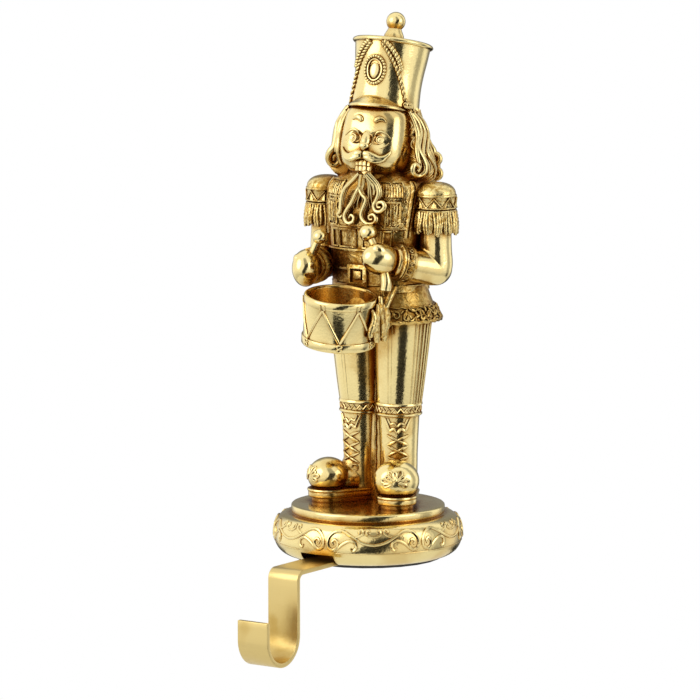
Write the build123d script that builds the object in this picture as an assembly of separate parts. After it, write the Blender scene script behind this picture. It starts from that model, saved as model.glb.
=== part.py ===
from build123d import *
from build123d.topology import SkipClean
import os
from math import cos, pi, radians, sin

os.makedirs("parts", exist_ok=True)

# Mantel stocking holder: a drummer nutcracker cast in one piece with its round base,
# and a flat steel hook strip that is screwed into a channel under the base.
# Sizes are in millimetres. The mantel is the plane z = 0, the base's axis is the Z axis,
# the figure looks along -Y and its left hand is on the +X side.

# Pad under the base
PAD_THICKNESS = 1.4
PAD_INSET = 1.5

# Hook strip, its bends and its screws
STRIP_WIDTH = 15.0
STRIP_THICKNESS = 2.0
STRIP_REACH = 61.6
STRIP_TAIL = 16.0
BEND_RADIUS = 2.4
HOOK_DROP = 38.9
HOOK_RADIUS = 10.0
LIP_HEIGHT = 20.4
STRIP_CORNER = 1.2
CHANNEL_CLEARANCE = 0.3
MOUTH_CLEARANCE = 0.7
MOUTH_RISE = 2.8
MOUTH_DEPTH = 14.0
SCREW_DIAMETER = 3.0
SCREW_HEAD_DIAMETER = 5.8
SCREW_HEAD_HEIGHT = 1.6
SCREW_LENGTH = 9.0
SCREW_SPACING = 18.0
SCREW_END_MARGIN = 8.0
SCREW_CLEARANCE = 0.1
SOCKET_WIDTH = 2.0
SOCKET_DEPTH = 0.8

# Round base and the scrolls raised on its bulge
BASE_DIAMETER = 80.0
BASE_HEIGHT = 21.2
BASE_FOOT_INSET = 7.0
BASE_BULGE_RISE = 7.6
BASE_SHOULDER_INSET = 6.5
BASE_STEP = 0.8
BASE_GROOVE = 0.9
BASE_EDGE_HEIGHT = 3.7
BASE_EDGE_CHAMFER = 0.5
SCROLL_PAIRS = 5
SCROLL_RADIUS = 4.8
SCROLL_BEAD = 1.0
SCROLL_STEPS = 6
STEM_REACH = 13.0

# Boots and legs
BODY_SETBACK = 9.6
LEG_SPACING = 18.6
TOE_SPLAY = 30.0
PEDESTAL_HEIGHT = 2.0
PEDESTAL_INSET = 1.6
SOLE_HEIGHT = 2.8
FOOT_REACH = 16.0
TOE_SOLE_RADIUS = 8.8
HEEL_SOLE_RADIUS = 8.0
TOE_RADIUS = 8.5
TOE_HALF_HEIGHT = 6.9
TOE_RISE = 5.4
INSTEP_RADIUS = 6.3
BOOT_LENGTH = 38.6
ANKLE_RADIUS = 8.3
BOOT_TOP_RADIUS = 9.0
BAND_HEIGHT = 5.4
BAND_RADIUS = 10.1
BAND_RING = 0.65
TROUSER_LENGTH = 35.5
THIGH_RADIUS = 12.7
HIP_SPACING = 23.0
TROUSER_PLEATS = 10
PLEAT_DEPTH = 0.7
WEB_THICKNESS = 8.0

# Coat, belt and chest
SKIRT_LENGTH = 14.5
HEM_WIDTH = 54.0
HEM_DEPTH = 47.0
WAIST_WIDTH = 41.0
WAIST_DEPTH = 33.0
TRIM_HEIGHT = 6.5
TRIM_STAND = 1.3
TRIM_SCALLOPS = 20
BELT_HEIGHT = 8.0
BELT_STAND = 1.2
BUCKLE_WIDTH = 9.5
BUCKLE_HEIGHT = 9.0
BUCKLE_STAND = 1.8
BUCKLE_FRAME = 1.6
TORSO_LENGTH = 43.0
CHEST_DEPTH = 32.0
NECK_WIDTH = 22.0
PLASTRON_TOP_WIDTH = 31.0
PLASTRON_FOOT_WIDTH = 25.0
PLASTRON_STAND = 0.8
FROG_HEIGHT = 5.2
FROG_GAP = 2.2
FROG_ROWS = 3
FROG_STAND = 1.6
COLLAR_HEIGHT = 5.0
COLLAR_RADIUS = 13.5
COLLAR_TAPER = 1.5

# Arms, epaulettes, hands and drumsticks; hand places count from the body's axis and the belt's top,
# and stick places from the hand to the ball
SHOULDER_SPACING = 55.5
ARM_RADIUS = 6.6
ARM_SINK = 0.85
UPPER_ARM_LENGTH = 32.0
EPAULETTE_RADIUS = 8.4
EPAULETTE_DROP = 3.6
EPAULETTE_CAP = 6.0
EPAULETTE_BAND = 6.8
EPAULETTE_RING = 0.6
FRINGE_LENGTH = 9.5
FRINGE_FLARE = 1.0
FRINGE_STRANDS = 10
FRINGE_CREASE = 1.0
ELBOW_RADIUS = 7.3
ELBOW_EASE = 0.3
WRIST_RADIUS = 6.0
CUFF_RADIUS = 7.9
CUFF_LENGTH = 5.2
CUFF_RING = 0.6
CUFF_GAP = 3.2
HAND_RADIUS = 6.4
HAND_HALF_LENGTH = 8.4
RIGHT_HAND = (-20.0, -26.6, -0.5)
LEFT_HAND = (16.0, -23.6, 5.5)
RIGHT_STICK = (6.5, 0.6, 13.7)
LEFT_STICK = (-8.3, 0.6, 10.2)
RIGHT_STICK_BALL = 3.3
LEFT_STICK_BALL = 3.9
RIGHT_STICK_TAIL = 4.0
LEFT_STICK_TAIL = 12.5
STICK_RADIUS = 1.5
STICK_TAIL_RADIUS = 2.1

# Drum, with its tilt towards the figure's left and towards the front
DRUM_DIAMETER = 30.0
DRUM_HEIGHT = 21.5
DRUM_WALL = 1.5
DRUM_RECESS = 14.0
DRUM_REACH = 31.2
DRUM_BELOW_WAIST = 12.2
DRUM_LEFT_TILT = 7.5
DRUM_FRONT_TILT = 6.0
HOOP_STAND = 0.7
TOP_HOOP_HEIGHT = 3.0
BOTTOM_HOOP_HEIGHT = 4.0
CORD_RADIUS = 0.8
CORD_LEGS = 12
CORD_TURN = 35.0

# Head and face, leaning back on the neck and turned to the figure's left
HEAD_RISE = 17.6
HEAD_LEAN = 13.0
HEAD_TURN = 8.0
HEAD_RADIUS = 14.9
HEAD_HALF_HEIGHT = 15.4
FACE_FORWARD = 3.4
FACE_DROP = 1.5
EYE_RADIUS = 2.6
BROW_HALF_LENGTH = 3.8
BROW_RADIUS = 1.2
NOSE_HALF_LENGTH = 3.6
NOSE_RADIUS = 2.0
MOUSTACHE_HALF_LENGTH = 6.4
MOUSTACHE_RADIUS = 2.0
WHISKER_RADIUS = 0.9
TEETH_WIDTH = 7.2
TEETH_HEIGHT = 5.0

# Hair and beard; each beard strand has its place across the chest and its fall below the shoulder
HAIR_LOCKS = 15
LOCK_DEPTH = 1.7
HAIR_WIDTH = 46.0
HAIR_DROP = 16.5
HAIR_BACK = 7.0
CURL_RADIUS = 2.7
CURL_THICKNESS = 1.0
CURL_STEPS = 7
BEARD_STRANDS = ((-8.3, 13.5), (-2.7, 14.0), (5.6, 14.0), (9.6, 8.2))
BEARD_WIDTH = 17.0
BEARD_THICKNESS = 5.0
BEARD_FALL = 12.0
STRAND_RADIUS = 0.9

# Hat with its visor, knob, medallion and swags of cord
HAT_SEAT = 14.0
HAT_HEIGHT = 28.4
HAT_FOOT_RADIUS = 14.6
HAT_WAIST_RADIUS = 14.4
HAT_TOP_RADIUS = 15.9
HAT_RIM_STAND = 1.3
HAT_RIM_HEIGHT = 2.2
VISOR_REACH = 4.2
VISOR_FALL = 1.9
VISOR_EDGE = 0.9
VISOR_RISE = 3.4
KNOB_COLLAR_RADIUS = 3.4
KNOB_COLLAR_HEIGHT = 5.2
KNOB_RADIUS = 4.3
MEDALLION_WIDTH = 8.4
MEDALLION_HEIGHT = 11.0
MEDALLION_STAND = 1.4
MEDALLION_FRAME = 1.3
SWAG_RADIUS = 1.1

# Heights that follow from the sizes above, counted up from the mantel
BASE_UNDERSIDE = PAD_THICKNESS
BASE_RADIUS = BASE_DIAMETER / 2
BASE_TOP = BASE_UNDERSIDE + BASE_HEIGHT
BULGE_LEVEL = BASE_UNDERSIDE + BASE_BULGE_RISE
BULGE_TOP = BASE_TOP - BASE_EDGE_HEIGHT - BASE_GROOVE
SOLE_TOP = BASE_TOP + PEDESTAL_HEIGHT + SOLE_HEIGHT
BOOT_TOP = SOLE_TOP + BOOT_LENGTH
HEM = BOOT_TOP + TROUSER_LENGTH
WAIST = HEM + SKIRT_LENGTH
BELT_TOP = WAIST + BELT_HEIGHT
SHOULDER = WAIST + TORSO_LENGTH
CHEST_WIDTH = SHOULDER_SPACING - 2 * (ARM_RADIUS - ARM_SINK)
HEAD_CENTRE = SHOULDER + HEAD_RISE
STRIP_TOP = BASE_UNDERSIDE + STRIP_THICKNESS
SCREW_PLACES = (STRIP_TAIL - SCREW_END_MARGIN, STRIP_TAIL - SCREW_END_MARGIN - SCREW_SPACING)

# The casting's round forms have flat sides, more of them on the larger ones, which keeps its mesh light
LEAST_SIDES = 6
SIDE_GROWTH = 0.6
OVAL_SIDES = 18
ROD_SIDES = 4
EGG_SPAN = radians(70)
BULGE_RUNS = 3
FLAT_LIMIT = 0.00001
SIDES = (-1, 1)
UP = Vector(0, 0, 1)
UPRIGHT = (Align.CENTER, Align.CENTER, Align.MIN)


def flat(points):
    """A flat face with straight edges between the points."""
    return Face(Wire.make_polygon(points, close=True))


def ring(place, half_width, half_depth, sides, crease=0.0):
    """The points of a flat oval, where a crease draws every second point in."""
    points = []
    for step in range(sides):
        turn = 2 * pi * step / sides
        inset = crease * (step % 2)
        spot = place * Pos((half_width - inset) * cos(turn), (half_depth - inset) * sin(turn), 0)
        points.append(spot.position)
    return points


def skin(rings):
    """A closed solid over a row of rings that have the same number of points."""
    faces = [flat(rings[0]), flat(rings[-1])]
    for low, high in zip(rings, rings[1:]):
        for step in range(len(low)):
            a, b, c, d = low[step - 1], low[step], high[step], high[step - 1]
            lean = (b - a).cross(c - a).normalized().dot(d - a)
            faces += [flat([a, b, c, d])] if abs(lean) < FLAT_LIMIT else [flat([a, b, c]), flat([a, c, d])]
    return Solid(Shell(faces))


def lathe(place, outline):
    """A round solid about the place's axis over an outline of (radius, height) points, with flat ends."""
    widest = max(radius for radius, height in outline)
    sides = LEAST_SIDES + 2 * round(SIDE_GROWTH * widest / 2)
    return skin([ring(place * Pos(0, 0, height), radius, radius, sides) for radius, height in outline])


def along(start, run):
    """The place at a point with its axis along the run."""
    return Plane(origin=start, z_dir=run).location


def egg(centre, axis, half_length, radius):
    """A ball that is half_length long each way along its axis and radius wide."""
    outline = []
    runs = 4 + 2 * round(radius / HEAD_RADIUS)
    for run in range(runs + 1):
        turn = EGG_SPAN * (2 * run / runs - 1)
        outline.append((radius * cos(turn), half_length * sin(turn) / sin(EGG_SPAN)))
    return lathe(along(centre, axis), outline)


def limb(start, start_radius, end, end_radius):
    """A round bar, tapered or straight, from one point to another."""
    run = Vector(end) - Vector(start)
    return lathe(along(start, run), [(start_radius, 0), (end_radius, run.length)])


def rod(points, radius):
    """A thin four-sided rod along straight runs from point to point."""
    path = Polyline(*points)
    run = Vector(points[1]) - Vector(points[0])
    section = Plane(origin=points[0], z_dir=run) * RegularPolygon(radius, ROD_SIDES)
    return sweep(section, path=path, transition=Transition.RIGHT)


def ringed_band(start, end, radius, edge):
    """A round band from one point to another, with a raised ring along each of its two edges."""
    run = Vector(end) - Vector(start)
    length = run.length
    outline = [(radius + edge, 0), (radius + edge, 1.5 * edge), (radius, 2 * edge)]
    outline += [(radius, length - 2 * edge), (radius + edge, length - 1.5 * edge), (radius + edge, length)]
    return lathe(along(start, run), outline)


def join(pieces):
    """One solid from pieces that overlap, fused one after another."""
    whole = pieces[0]
    for piece in pieces[1:]:
        whole = whole + piece
    return whole


def on_bulge(along, rise):
    """A point on the base's bulge, from a length along its rim and a length up or down from its widest line."""
    height = BULGE_TOP - BULGE_LEVEL if rise > 0 else BASE_BULGE_RISE
    inset = BASE_SHOULDER_INSET if rise > 0 else BASE_FOOT_INSET
    swing = rise / height
    radius = BASE_RADIUS - inset * (1 - cos(swing))
    turn = along / BASE_RADIUS
    return Vector(radius * sin(turn), -radius * cos(turn), BULGE_LEVEL + height * sin(swing))


def base():
    """The round base: a bulging rim, a groove and a flat plate with an upright edge."""
    foot_radius = BASE_RADIUS - BASE_FOOT_INSET
    shoulder_radius = BASE_RADIUS - BASE_SHOULDER_INSET
    top_radius = shoulder_radius - BASE_STEP
    outline = []
    for run in range(BULGE_RUNS):
        turn = pi / 2 * (run / BULGE_RUNS - 1)
        outline.append((foot_radius + BASE_FOOT_INSET * cos(turn), BULGE_LEVEL + BASE_BULGE_RISE * sin(turn)))
    for run in range(BULGE_RUNS + 1):
        turn = pi / 2 * run / BULGE_RUNS
        rise = (BULGE_TOP - BULGE_LEVEL) * sin(turn)
        outline.append((shoulder_radius + BASE_SHOULDER_INSET * cos(turn), BULGE_LEVEL + rise))
    outline += [
        (top_radius - BASE_GROOVE, BULGE_TOP),
        (top_radius - BASE_GROOVE, BULGE_TOP + BASE_GROOVE),
        (top_radius, BULGE_TOP + BASE_GROOVE),
        (top_radius, BASE_TOP - BASE_EDGE_CHAMFER),
        (top_radius - BASE_EDGE_CHAMFER, BASE_TOP),
    ]
    return lathe(Location(), outline)


def scrolls():
    """Mirrored pairs of scrolls round the bulge, each a curl with a stem that runs out to the side."""
    parts = []
    pitch = 2 * pi * BASE_RADIUS / SCROLL_PAIRS
    for pair in range(SCROLL_PAIRS):
        for side in SIDES:
            middle = (pair + 0.5) * pitch + side * 1.4 * SCROLL_RADIUS
            points = [on_bulge(middle + side * STEM_REACH, 0.9 * SCROLL_RADIUS)]
            for step in range(SCROLL_STEPS + 1):
                turn = 0.45 * pi + 1.5 * pi * step / SCROLL_STEPS
                radius = SCROLL_RADIUS * (1 - 0.62 * step / SCROLL_STEPS)
                points.append(on_bulge(middle + side * radius * cos(turn), 1.0 + radius * sin(turn)))
            parts.append(rod(points, SCROLL_BEAD))
    return parts


def base_cuts():
    """What is taken out of the base's underside: the strip's channel, its taller mouth and the screw holes."""
    channel_width = STRIP_WIDTH + 2 * CHANNEL_CLEARANCE
    channel_length = BASE_RADIUS + STRIP_TAIL + CHANNEL_CLEARANCE
    mouth_width = STRIP_WIDTH + 2 * MOUTH_CLEARANCE
    along = (Align.CENTER, Align.MIN, Align.MIN)
    front = Pos(0, -BASE_RADIUS, BASE_UNDERSIDE)
    cuts = [
        front * Box(channel_width, channel_length, STRIP_THICKNESS, align=along),
        front * Box(mouth_width, MOUTH_DEPTH, STRIP_THICKNESS + MOUTH_RISE, align=along),
    ]
    for place in SCREW_PLACES:
        hole = Cylinder(SCREW_DIAMETER / 2 + SCREW_CLEARANCE, SCREW_LENGTH, align=UPRIGHT)
        cuts.append(Pos(0, place, BASE_UNDERSIDE) * hole)
    return cuts


def sole_outline(ground, inset):
    """The points round a boot's sole, half a round at the heel and half a wider one at the toe."""
    points = []
    for step in range(OVAL_SIDES):
        turn = 2 * pi * (step + 0.5) / OVAL_SIDES
        radius = TOE_SOLE_RADIUS - inset if cos(turn) > 0 else HEEL_SOLE_RADIUS - inset
        reach = FOOT_REACH if cos(turn) > 0 else 0
        points.append((ground * Pos(reach + radius * cos(turn), radius * sin(turn), 0)).position)
    return points


def boots():
    """Both boots: sole on a low pedestal, round toe, instep, shaft and the band at the top."""
    parts = []
    for side in SIDES:
        ahead = Vector(side * sin(radians(TOE_SPLAY)), -cos(radians(TOE_SPLAY)), 0)
        ankle = Vector(side * LEG_SPACING / 2, BODY_SETBACK, SOLE_TOP)
        toe = ankle + ahead * FOOT_REACH + UP * TOE_RISE
        for inset, floor, height in (
            (PEDESTAL_INSET, BASE_TOP - PEDESTAL_HEIGHT / 2, 2 * PEDESTAL_HEIGHT),
            (0, BASE_TOP + PEDESTAL_HEIGHT, SOLE_HEIGHT),
        ):
            ground = Plane(origin=(ankle.X, ankle.Y, floor), x_dir=ahead, z_dir=UP).location
            parts.append(skin([sole_outline(ground, inset), sole_outline(ground * Pos(0, 0, height), inset)]))
        boot_top = ankle + UP * BOOT_LENGTH
        parts.append(limb(ankle - UP * SOLE_HEIGHT / 2, ANKLE_RADIUS, boot_top, BOOT_TOP_RADIUS))
        parts.append(egg(toe, UP, TOE_HALF_HEIGHT, TOE_RADIUS))
        parts.append(limb(ankle + UP * 1.6 * TOE_RISE, INSTEP_RADIUS, toe, INSTEP_RADIUS - ELBOW_EASE))
        parts.append(ringed_band(boot_top - UP * BAND_HEIGHT, boot_top, BAND_RADIUS - BAND_RING, BAND_RING))
    return parts


def trousers():
    """Both trouser legs, pleated down their length and wider at the hip, and the casting's web between the legs."""
    parts = []
    knee_radius = BAND_RADIUS - BAND_RING
    for side in SIDES:
        knee = Pos(side * LEG_SPACING / 2, BODY_SETBACK, BOOT_TOP - BAND_HEIGHT / 2)
        hip = Pos(side * HIP_SPACING / 2, BODY_SETBACK, HEM + SKIRT_LENGTH / 3)
        rings = [
            ring(knee, knee_radius, knee_radius, 2 * TROUSER_PLEATS, PLEAT_DEPTH),
            ring(hip, THIGH_RADIUS, THIGH_RADIUS, 2 * TROUSER_PLEATS, PLEAT_DEPTH),
        ]
        parts.append(skin(rings))
    web_foot = BASE_TOP - PEDESTAL_HEIGHT / 2
    web = Box(LEG_SPACING, WEB_THICKNESS, HEM + SKIRT_LENGTH / 3 - web_foot, align=UPRIGHT)
    parts.append(Pos(0, BODY_SETBACK, web_foot) * web)
    return parts


def torso_form(stand):
    """The coat's body from the belt to the neck, standing out by the given amount."""
    rows = (
        (0, WAIST_WIDTH / 2, WAIST_DEPTH / 2),
        (0.33, CHEST_WIDTH / 2 - 1, CHEST_DEPTH / 2),
        (0.75, CHEST_WIDTH / 2, CHEST_DEPTH / 2),
        (0.97, CHEST_WIDTH / 2 - 1, CHEST_DEPTH / 2 - 3),
        (1.08, NECK_WIDTH / 2, NECK_WIDTH / 2 - 1),
    )
    rings = []
    for share, half_width, half_depth in rows:
        place = Pos(0, BODY_SETBACK, WAIST + share * TORSO_LENGTH)
        rings.append(ring(place, half_width + stand, half_depth + stand, OVAL_SIDES))
    return skin(rings)


def coat():
    """The coat: flared skirt with a pleated trim, belt and buckle, chest with plastron and collar."""
    axis = Pos(0, BODY_SETBACK, 0)
    skirt = [
        ring(axis * Pos(0, 0, HEM), HEM_WIDTH / 2, HEM_DEPTH / 2, OVAL_SIDES),
        ring(axis * Pos(0, 0, WAIST + BELT_HEIGHT / 2), WAIST_WIDTH / 2, WAIST_DEPTH / 2, OVAL_SIDES),
    ]
    fall = (HEM_WIDTH - WAIST_WIDTH) / 2 * TRIM_HEIGHT / SKIRT_LENGTH
    trim = []
    for level, inset in ((HEM - TRIM_STAND / 2, 0), (HEM + TRIM_HEIGHT, fall)):
        half_width = HEM_WIDTH / 2 + TRIM_STAND - inset
        half_depth = HEM_DEPTH / 2 + TRIM_STAND - inset
        trim.append(ring(axis * Pos(0, 0, level), half_width, half_depth, 2 * TRIM_SCALLOPS, TRIM_STAND))
    belt = []
    for level in (WAIST, BELT_TOP):
        half_width = WAIST_WIDTH / 2 + BELT_STAND
        half_depth = WAIST_DEPTH / 2 + BELT_STAND
        belt.append(ring(axis * Pos(0, 0, level), half_width, half_depth, OVAL_SIDES))
    frame = Rectangle(BUCKLE_WIDTH, BUCKLE_HEIGHT)
    window = Rectangle(BUCKLE_WIDTH - 2 * BUCKLE_FRAME, BUCKLE_HEIGHT - 2 * BUCKLE_FRAME)
    front = Plane(origin=(0, BODY_SETBACK - WAIST_DEPTH / 2, WAIST + BELT_HEIGHT / 2), z_dir=(0, -1, 0))
    buckle = front * extrude(frame - window, BELT_STAND + BUCKLE_STAND)
    collar_foot = (0, BODY_SETBACK, SHOULDER - COLLAR_HEIGHT / 2)
    collar_top = (0, BODY_SETBACK, SHOULDER + COLLAR_HEIGHT / 2)
    collar = limb(collar_foot, COLLAR_RADIUS, collar_top, COLLAR_RADIUS - COLLAR_TAPER)
    return [skin(skirt), skin(trim), skin(belt), buckle, torso_form(0), collar] + plastron()


def plastron():
    """The raised front panel of the coat, and rows of frogging on both sides of its middle."""
    foot = WAIST + BELT_HEIGHT / 2
    top = SHOULDER - COLLAR_HEIGHT / 2
    outline = Polyline(
        (-PLASTRON_FOOT_WIDTH / 2, foot),
        (PLASTRON_FOOT_WIDTH / 2, foot),
        (PLASTRON_TOP_WIDTH / 2, top),
        (-PLASTRON_TOP_WIDTH / 2, top),
        close=True,
    )
    panel = torso_form(PLASTRON_STAND) & extrude(Plane.XZ * make_face(outline), CHEST_DEPTH)
    raised = torso_form(FROG_STAND)
    length = PLASTRON_FOOT_WIDTH / 2 - FROG_GAP
    parts = [panel]
    for row in range(FROG_ROWS):
        level = BELT_TOP + FROG_GAP + (row + 0.5) * (FROG_HEIGHT + FROG_GAP)
        for side in SIDES:
            bar = Box(length, CHEST_DEPTH, FROG_HEIGHT, align=(Align.CENTER, Align.MAX, Align.CENTER))
            parts.append(raised & Pos(side * (FROG_GAP + length) / 2, 0, level) * bar)
    return parts


def epaulettes():
    """A low round cap, a band and a flared fringe of cords on each shoulder."""
    parts = []
    rim = EPAULETTE_RADIUS
    for side in SIDES:
        place = Pos(side * SHOULDER_SPACING / 2, BODY_SETBACK, SHOULDER - EPAULETTE_DROP)
        dome = [(rim - 2 * EPAULETTE_RING, -EPAULETTE_DROP)]
        for turn in (0, radians(35), EGG_SPAN):
            dome.append(((rim - EPAULETTE_RING) * cos(turn), EPAULETTE_CAP * sin(turn) / sin(EGG_SPAN)))
        parts.append(lathe(place, dome))
        parts.append(place * ringed_band((0, 0, -EPAULETTE_BAND), (0, 0, 0), rim, EPAULETTE_RING))
        flare = rim + FRINGE_FLARE
        strands = 2 * FRINGE_STRANDS
        fringe = [
            ring(place * Pos(0, 0, EPAULETTE_RING - EPAULETTE_BAND), rim, rim, strands, FRINGE_CREASE),
            ring(place * Pos(0, 0, -EPAULETTE_BAND - FRINGE_LENGTH), flare, flare, strands, FRINGE_CREASE),
        ]
        parts.append(skin(fringe))
    return parts


def arms():
    """Both arms, bent forward at the elbow, with cuffs, round hands and the drumsticks in them."""
    parts = []
    body = Vector(0, BODY_SETBACK, BELT_TOP)
    for side, hand_place, stick, ball_radius, tail in (
        (-1, RIGHT_HAND, RIGHT_STICK, RIGHT_STICK_BALL, RIGHT_STICK_TAIL),
        (1, LEFT_HAND, LEFT_STICK, LEFT_STICK_BALL, LEFT_STICK_TAIL),
    ):
        shoulder = Vector(side * SHOULDER_SPACING / 2, BODY_SETBACK, SHOULDER - EPAULETTE_DROP)
        elbow = shoulder - UP * UPPER_ARM_LENGTH
        hand = body + Vector(hand_place)
        forward = (hand - elbow).normalized()
        wrist = hand - forward * HAND_HALF_LENGTH / 2
        cuff_end = wrist - forward * CUFF_GAP
        cuff_start = cuff_end - forward * CUFF_LENGTH
        ball = hand + Vector(stick)
        down = (hand - ball).normalized()
        parts.append(limb(shoulder, ARM_RADIUS, elbow, ELBOW_RADIUS - ELBOW_EASE))
        parts.append(egg(elbow, UP, ELBOW_RADIUS, ELBOW_RADIUS))
        parts.append(limb(elbow, ELBOW_RADIUS - 2 * ELBOW_EASE, wrist, WRIST_RADIUS))
        parts.append(ringed_band(cuff_start, cuff_end, CUFF_RADIUS - CUFF_RING, CUFF_RING))
        parts.append(egg(hand, forward, HAND_HALF_LENGTH, HAND_RADIUS))
        parts.append(limb(ball, STICK_RADIUS, hand + down * tail, STICK_TAIL_RADIUS))
        parts.append(egg(ball, down, ball_radius, ball_radius))
    return parts


def drum_place():
    """Where the drum hangs in front of the skirt, with its tilt."""
    tilt = Rot(DRUM_FRONT_TILT, DRUM_LEFT_TILT, 0)
    return Pos(0, BODY_SETBACK - DRUM_REACH, WAIST - DRUM_BELOW_WAIST) * tilt


def drum():
    """The drum with its two hoops and the zigzag cords between them."""
    radius = DRUM_DIAMETER / 2
    half = DRUM_HEIGHT / 2
    hoop = radius + HOOP_STAND
    outline = [
        (hoop, -half),
        (hoop, BOTTOM_HOOP_HEIGHT - half),
        (radius, BOTTOM_HOOP_HEIGHT - half),
        (radius, half - TOP_HOOP_HEIGHT),
        (hoop, half - TOP_HOOP_HEIGHT),
        (hoop, half),
    ]
    parts = [lathe(Location(), outline)]
    for leg in range(CORD_LEGS):
        ends = []
        for step in (leg, leg + 1):
            turn = radians(CORD_TURN) + 2 * pi * step / CORD_LEGS
            level = half - TOP_HOOP_HEIGHT if step % 2 else BOTTOM_HOOP_HEIGHT - half
            ends.append(Vector(radius * sin(turn), -radius * cos(turn), level))
        parts.append(rod(ends, CORD_RADIUS))
    return drum_place() * join(parts)


def drum_recess():
    """The open top of the drum."""
    inside = DRUM_DIAMETER / 2 - DRUM_WALL
    half = DRUM_HEIGHT / 2
    return lathe(drum_place(), [(inside, half - DRUM_RECESS), (inside, half + DRUM_WALL)])


def head():
    """The head in its own upright place: skull, jaw, nose, eyes, brows, moustache and teeth."""
    size = HEAD_RADIUS
    middle = Vector(0, -FACE_FORWARD, -FACE_DROP)

    def at(across, forward, rise):
        return middle + Vector(across, -forward, rise) * size

    skull = []
    for wide, rise in ((0.34, -1.0), (0.68, -0.8), (0.92, -0.42), (1.0, 0), (0.98, 0.5), (0.89, 1.0)):
        skull.append((wide * size, rise * HEAD_HALF_HEIGHT))
    parts = [
        lathe(Pos(middle), skull),
        egg(at(0, 0.42, -0.66), (1, 0, 0), 0.58 * size, 0.46 * size),
        egg(at(0, 1.03, -0.04), (0, -0.35, -1), NOSE_HALF_LENGTH, NOSE_RADIUS),
        Pos(at(0, 0.84, -0.80)) * Box(TEETH_WIDTH, TEETH_WIDTH / 2, TEETH_HEIGHT),
    ]
    for side in SIDES:
        droop = Vector(side, 0.42, -0.16).normalized()
        whisker = at(0.36 * side, 0.90, -0.47)
        tip = whisker + droop * MOUSTACHE_HALF_LENGTH * 0.8
        curl = [tip, tip + Vector(2.4 * side, 1.2, 0.3), tip + Vector(3.4 * side, 2.2, 1.8)]
        parts.append(egg(at(0.42 * side, 0.84, 0.02), (0, 1, 0), EYE_RADIUS * 0.8, EYE_RADIUS))
        parts.append(egg(at(0.45 * side, 0.89, 0.42), (1, 0.5 * side, 0.1 * side), BROW_HALF_LENGTH, BROW_RADIUS))
        parts.append(egg(whisker, droop, MOUSTACHE_HALF_LENGTH, MOUSTACHE_RADIUS))
        parts.append(rod(curl, WHISKER_RADIUS))
    return parts


def curl_points(centre, across, side):
    """A flat spiral that starts above its centre and winds in, turning outwards on its own side."""
    points = []
    for step in range(CURL_STEPS + 1):
        turn = 0.5 * pi - 1.7 * pi * step / CURL_STEPS
        radius = CURL_RADIUS * (1 - 0.65 * step / CURL_STEPS)
        points.append(centre + across * (side * radius * cos(turn)) + UP * (radius * sin(turn)))
    return points


def hair():
    """The hair in the head's own place: a bell of locks round the back and sides, with curled ends."""
    rows = (
        (HAT_SEAT, 0.98 * HAT_FOOT_RADIUS, 0.98 * HAT_FOOT_RADIUS, 0.0),
        (0.05 * HAT_SEAT, 0.43 * HAIR_WIDTH, 0.42 * HAIR_WIDTH, 0.8),
        (-0.55 * HAIR_DROP, 0.50 * HAIR_WIDTH, 0.47 * HAIR_WIDTH, 1.0),
        (-HAIR_DROP, 0.47 * HAIR_WIDTH, 0.44 * HAIR_WIDTH, 1.0),
    )
    rings = []
    for level, half_width, half_depth, back in rows:
        place = Pos(0, back * HAIR_BACK, level)
        rings.append(ring(place, half_width, half_depth, 2 * HAIR_LOCKS, LOCK_DEPTH))
    opening = Box(2 * HAIR_WIDTH, HAIR_WIDTH, 6 * HAIR_DROP, align=(Align.CENTER, Align.MAX, Align.CENTER))
    parts = [skin(rings) - Pos(0, -FACE_FORWARD, 0) * opening]
    for side in SIDES:
        for out, back, level, turn in ((0.45, -0.12, -0.62, 10), (0.48, 0.35, -0.70, 55), (0.36, 1.05, -0.72, 100)):
            centre = Vector(side * out * HAIR_WIDTH, back * HEAD_RADIUS, level * HAIR_DROP)
            across = Vector(cos(radians(turn)), side * sin(radians(turn)), 0)
            parts.append(rod(curl_points(centre, across, side), CURL_THICKNESS))
        front = -0.2 * HEAD_RADIUS
        lock = [
            Vector(side * 0.29 * HAIR_WIDTH, 1.5 * front, 0.8 * HAT_SEAT),
            Vector(side * 0.36 * HAIR_WIDTH, front, 0.3 * HAT_SEAT),
            Vector(side * 0.38 * HAIR_WIDTH, front, -0.1 * HAT_SEAT),
            Vector(side * 0.44 * HAIR_WIDTH, 0.6 * front, CURL_RADIUS - 0.62 * HAIR_DROP),
        ]
        parts.append(rod(lock, CURL_THICKNESS))
    return parts


def beard():
    """The beard: a flat mass that widens down the chest, with curled strands over it."""
    chin = Vector(0.5, BODY_SETBACK - HEAD_RADIUS - FACE_FORWARD, SHOULDER + COLLAR_HEIGHT / 2)
    chest_front = BODY_SETBACK - CHEST_DEPTH / 2 - FROG_STAND
    mass = [
        ring(Pos(chin), BEARD_WIDTH / 4, BEARD_THICKNESS / 2, OVAL_SIDES // 2),
        ring(Pos(0, chest_front, SHOULDER - BEARD_FALL), BEARD_WIDTH / 2, BEARD_THICKNESS / 3, OVAL_SIDES // 2),
    ]
    parts = [skin(mass)]
    for across, fall in BEARD_STRANDS:
        side = 1 if across > 0 else -1
        front = chest_front - STRAND_RADIUS
        end = Vector(across, front, SHOULDER - fall + CURL_RADIUS)
        knee = Vector(across * 0.8 - 0.8, front - STRAND_RADIUS, SHOULDER - fall * 0.35)
        curl = curl_points(end - UP * CURL_RADIUS * 0.6, Vector(1, 0, 0), side)
        parts.append(rod([chin + Vector(across * 0.3, 0, 0), knee, end] + curl[2:], STRAND_RADIUS))
    return parts


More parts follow.
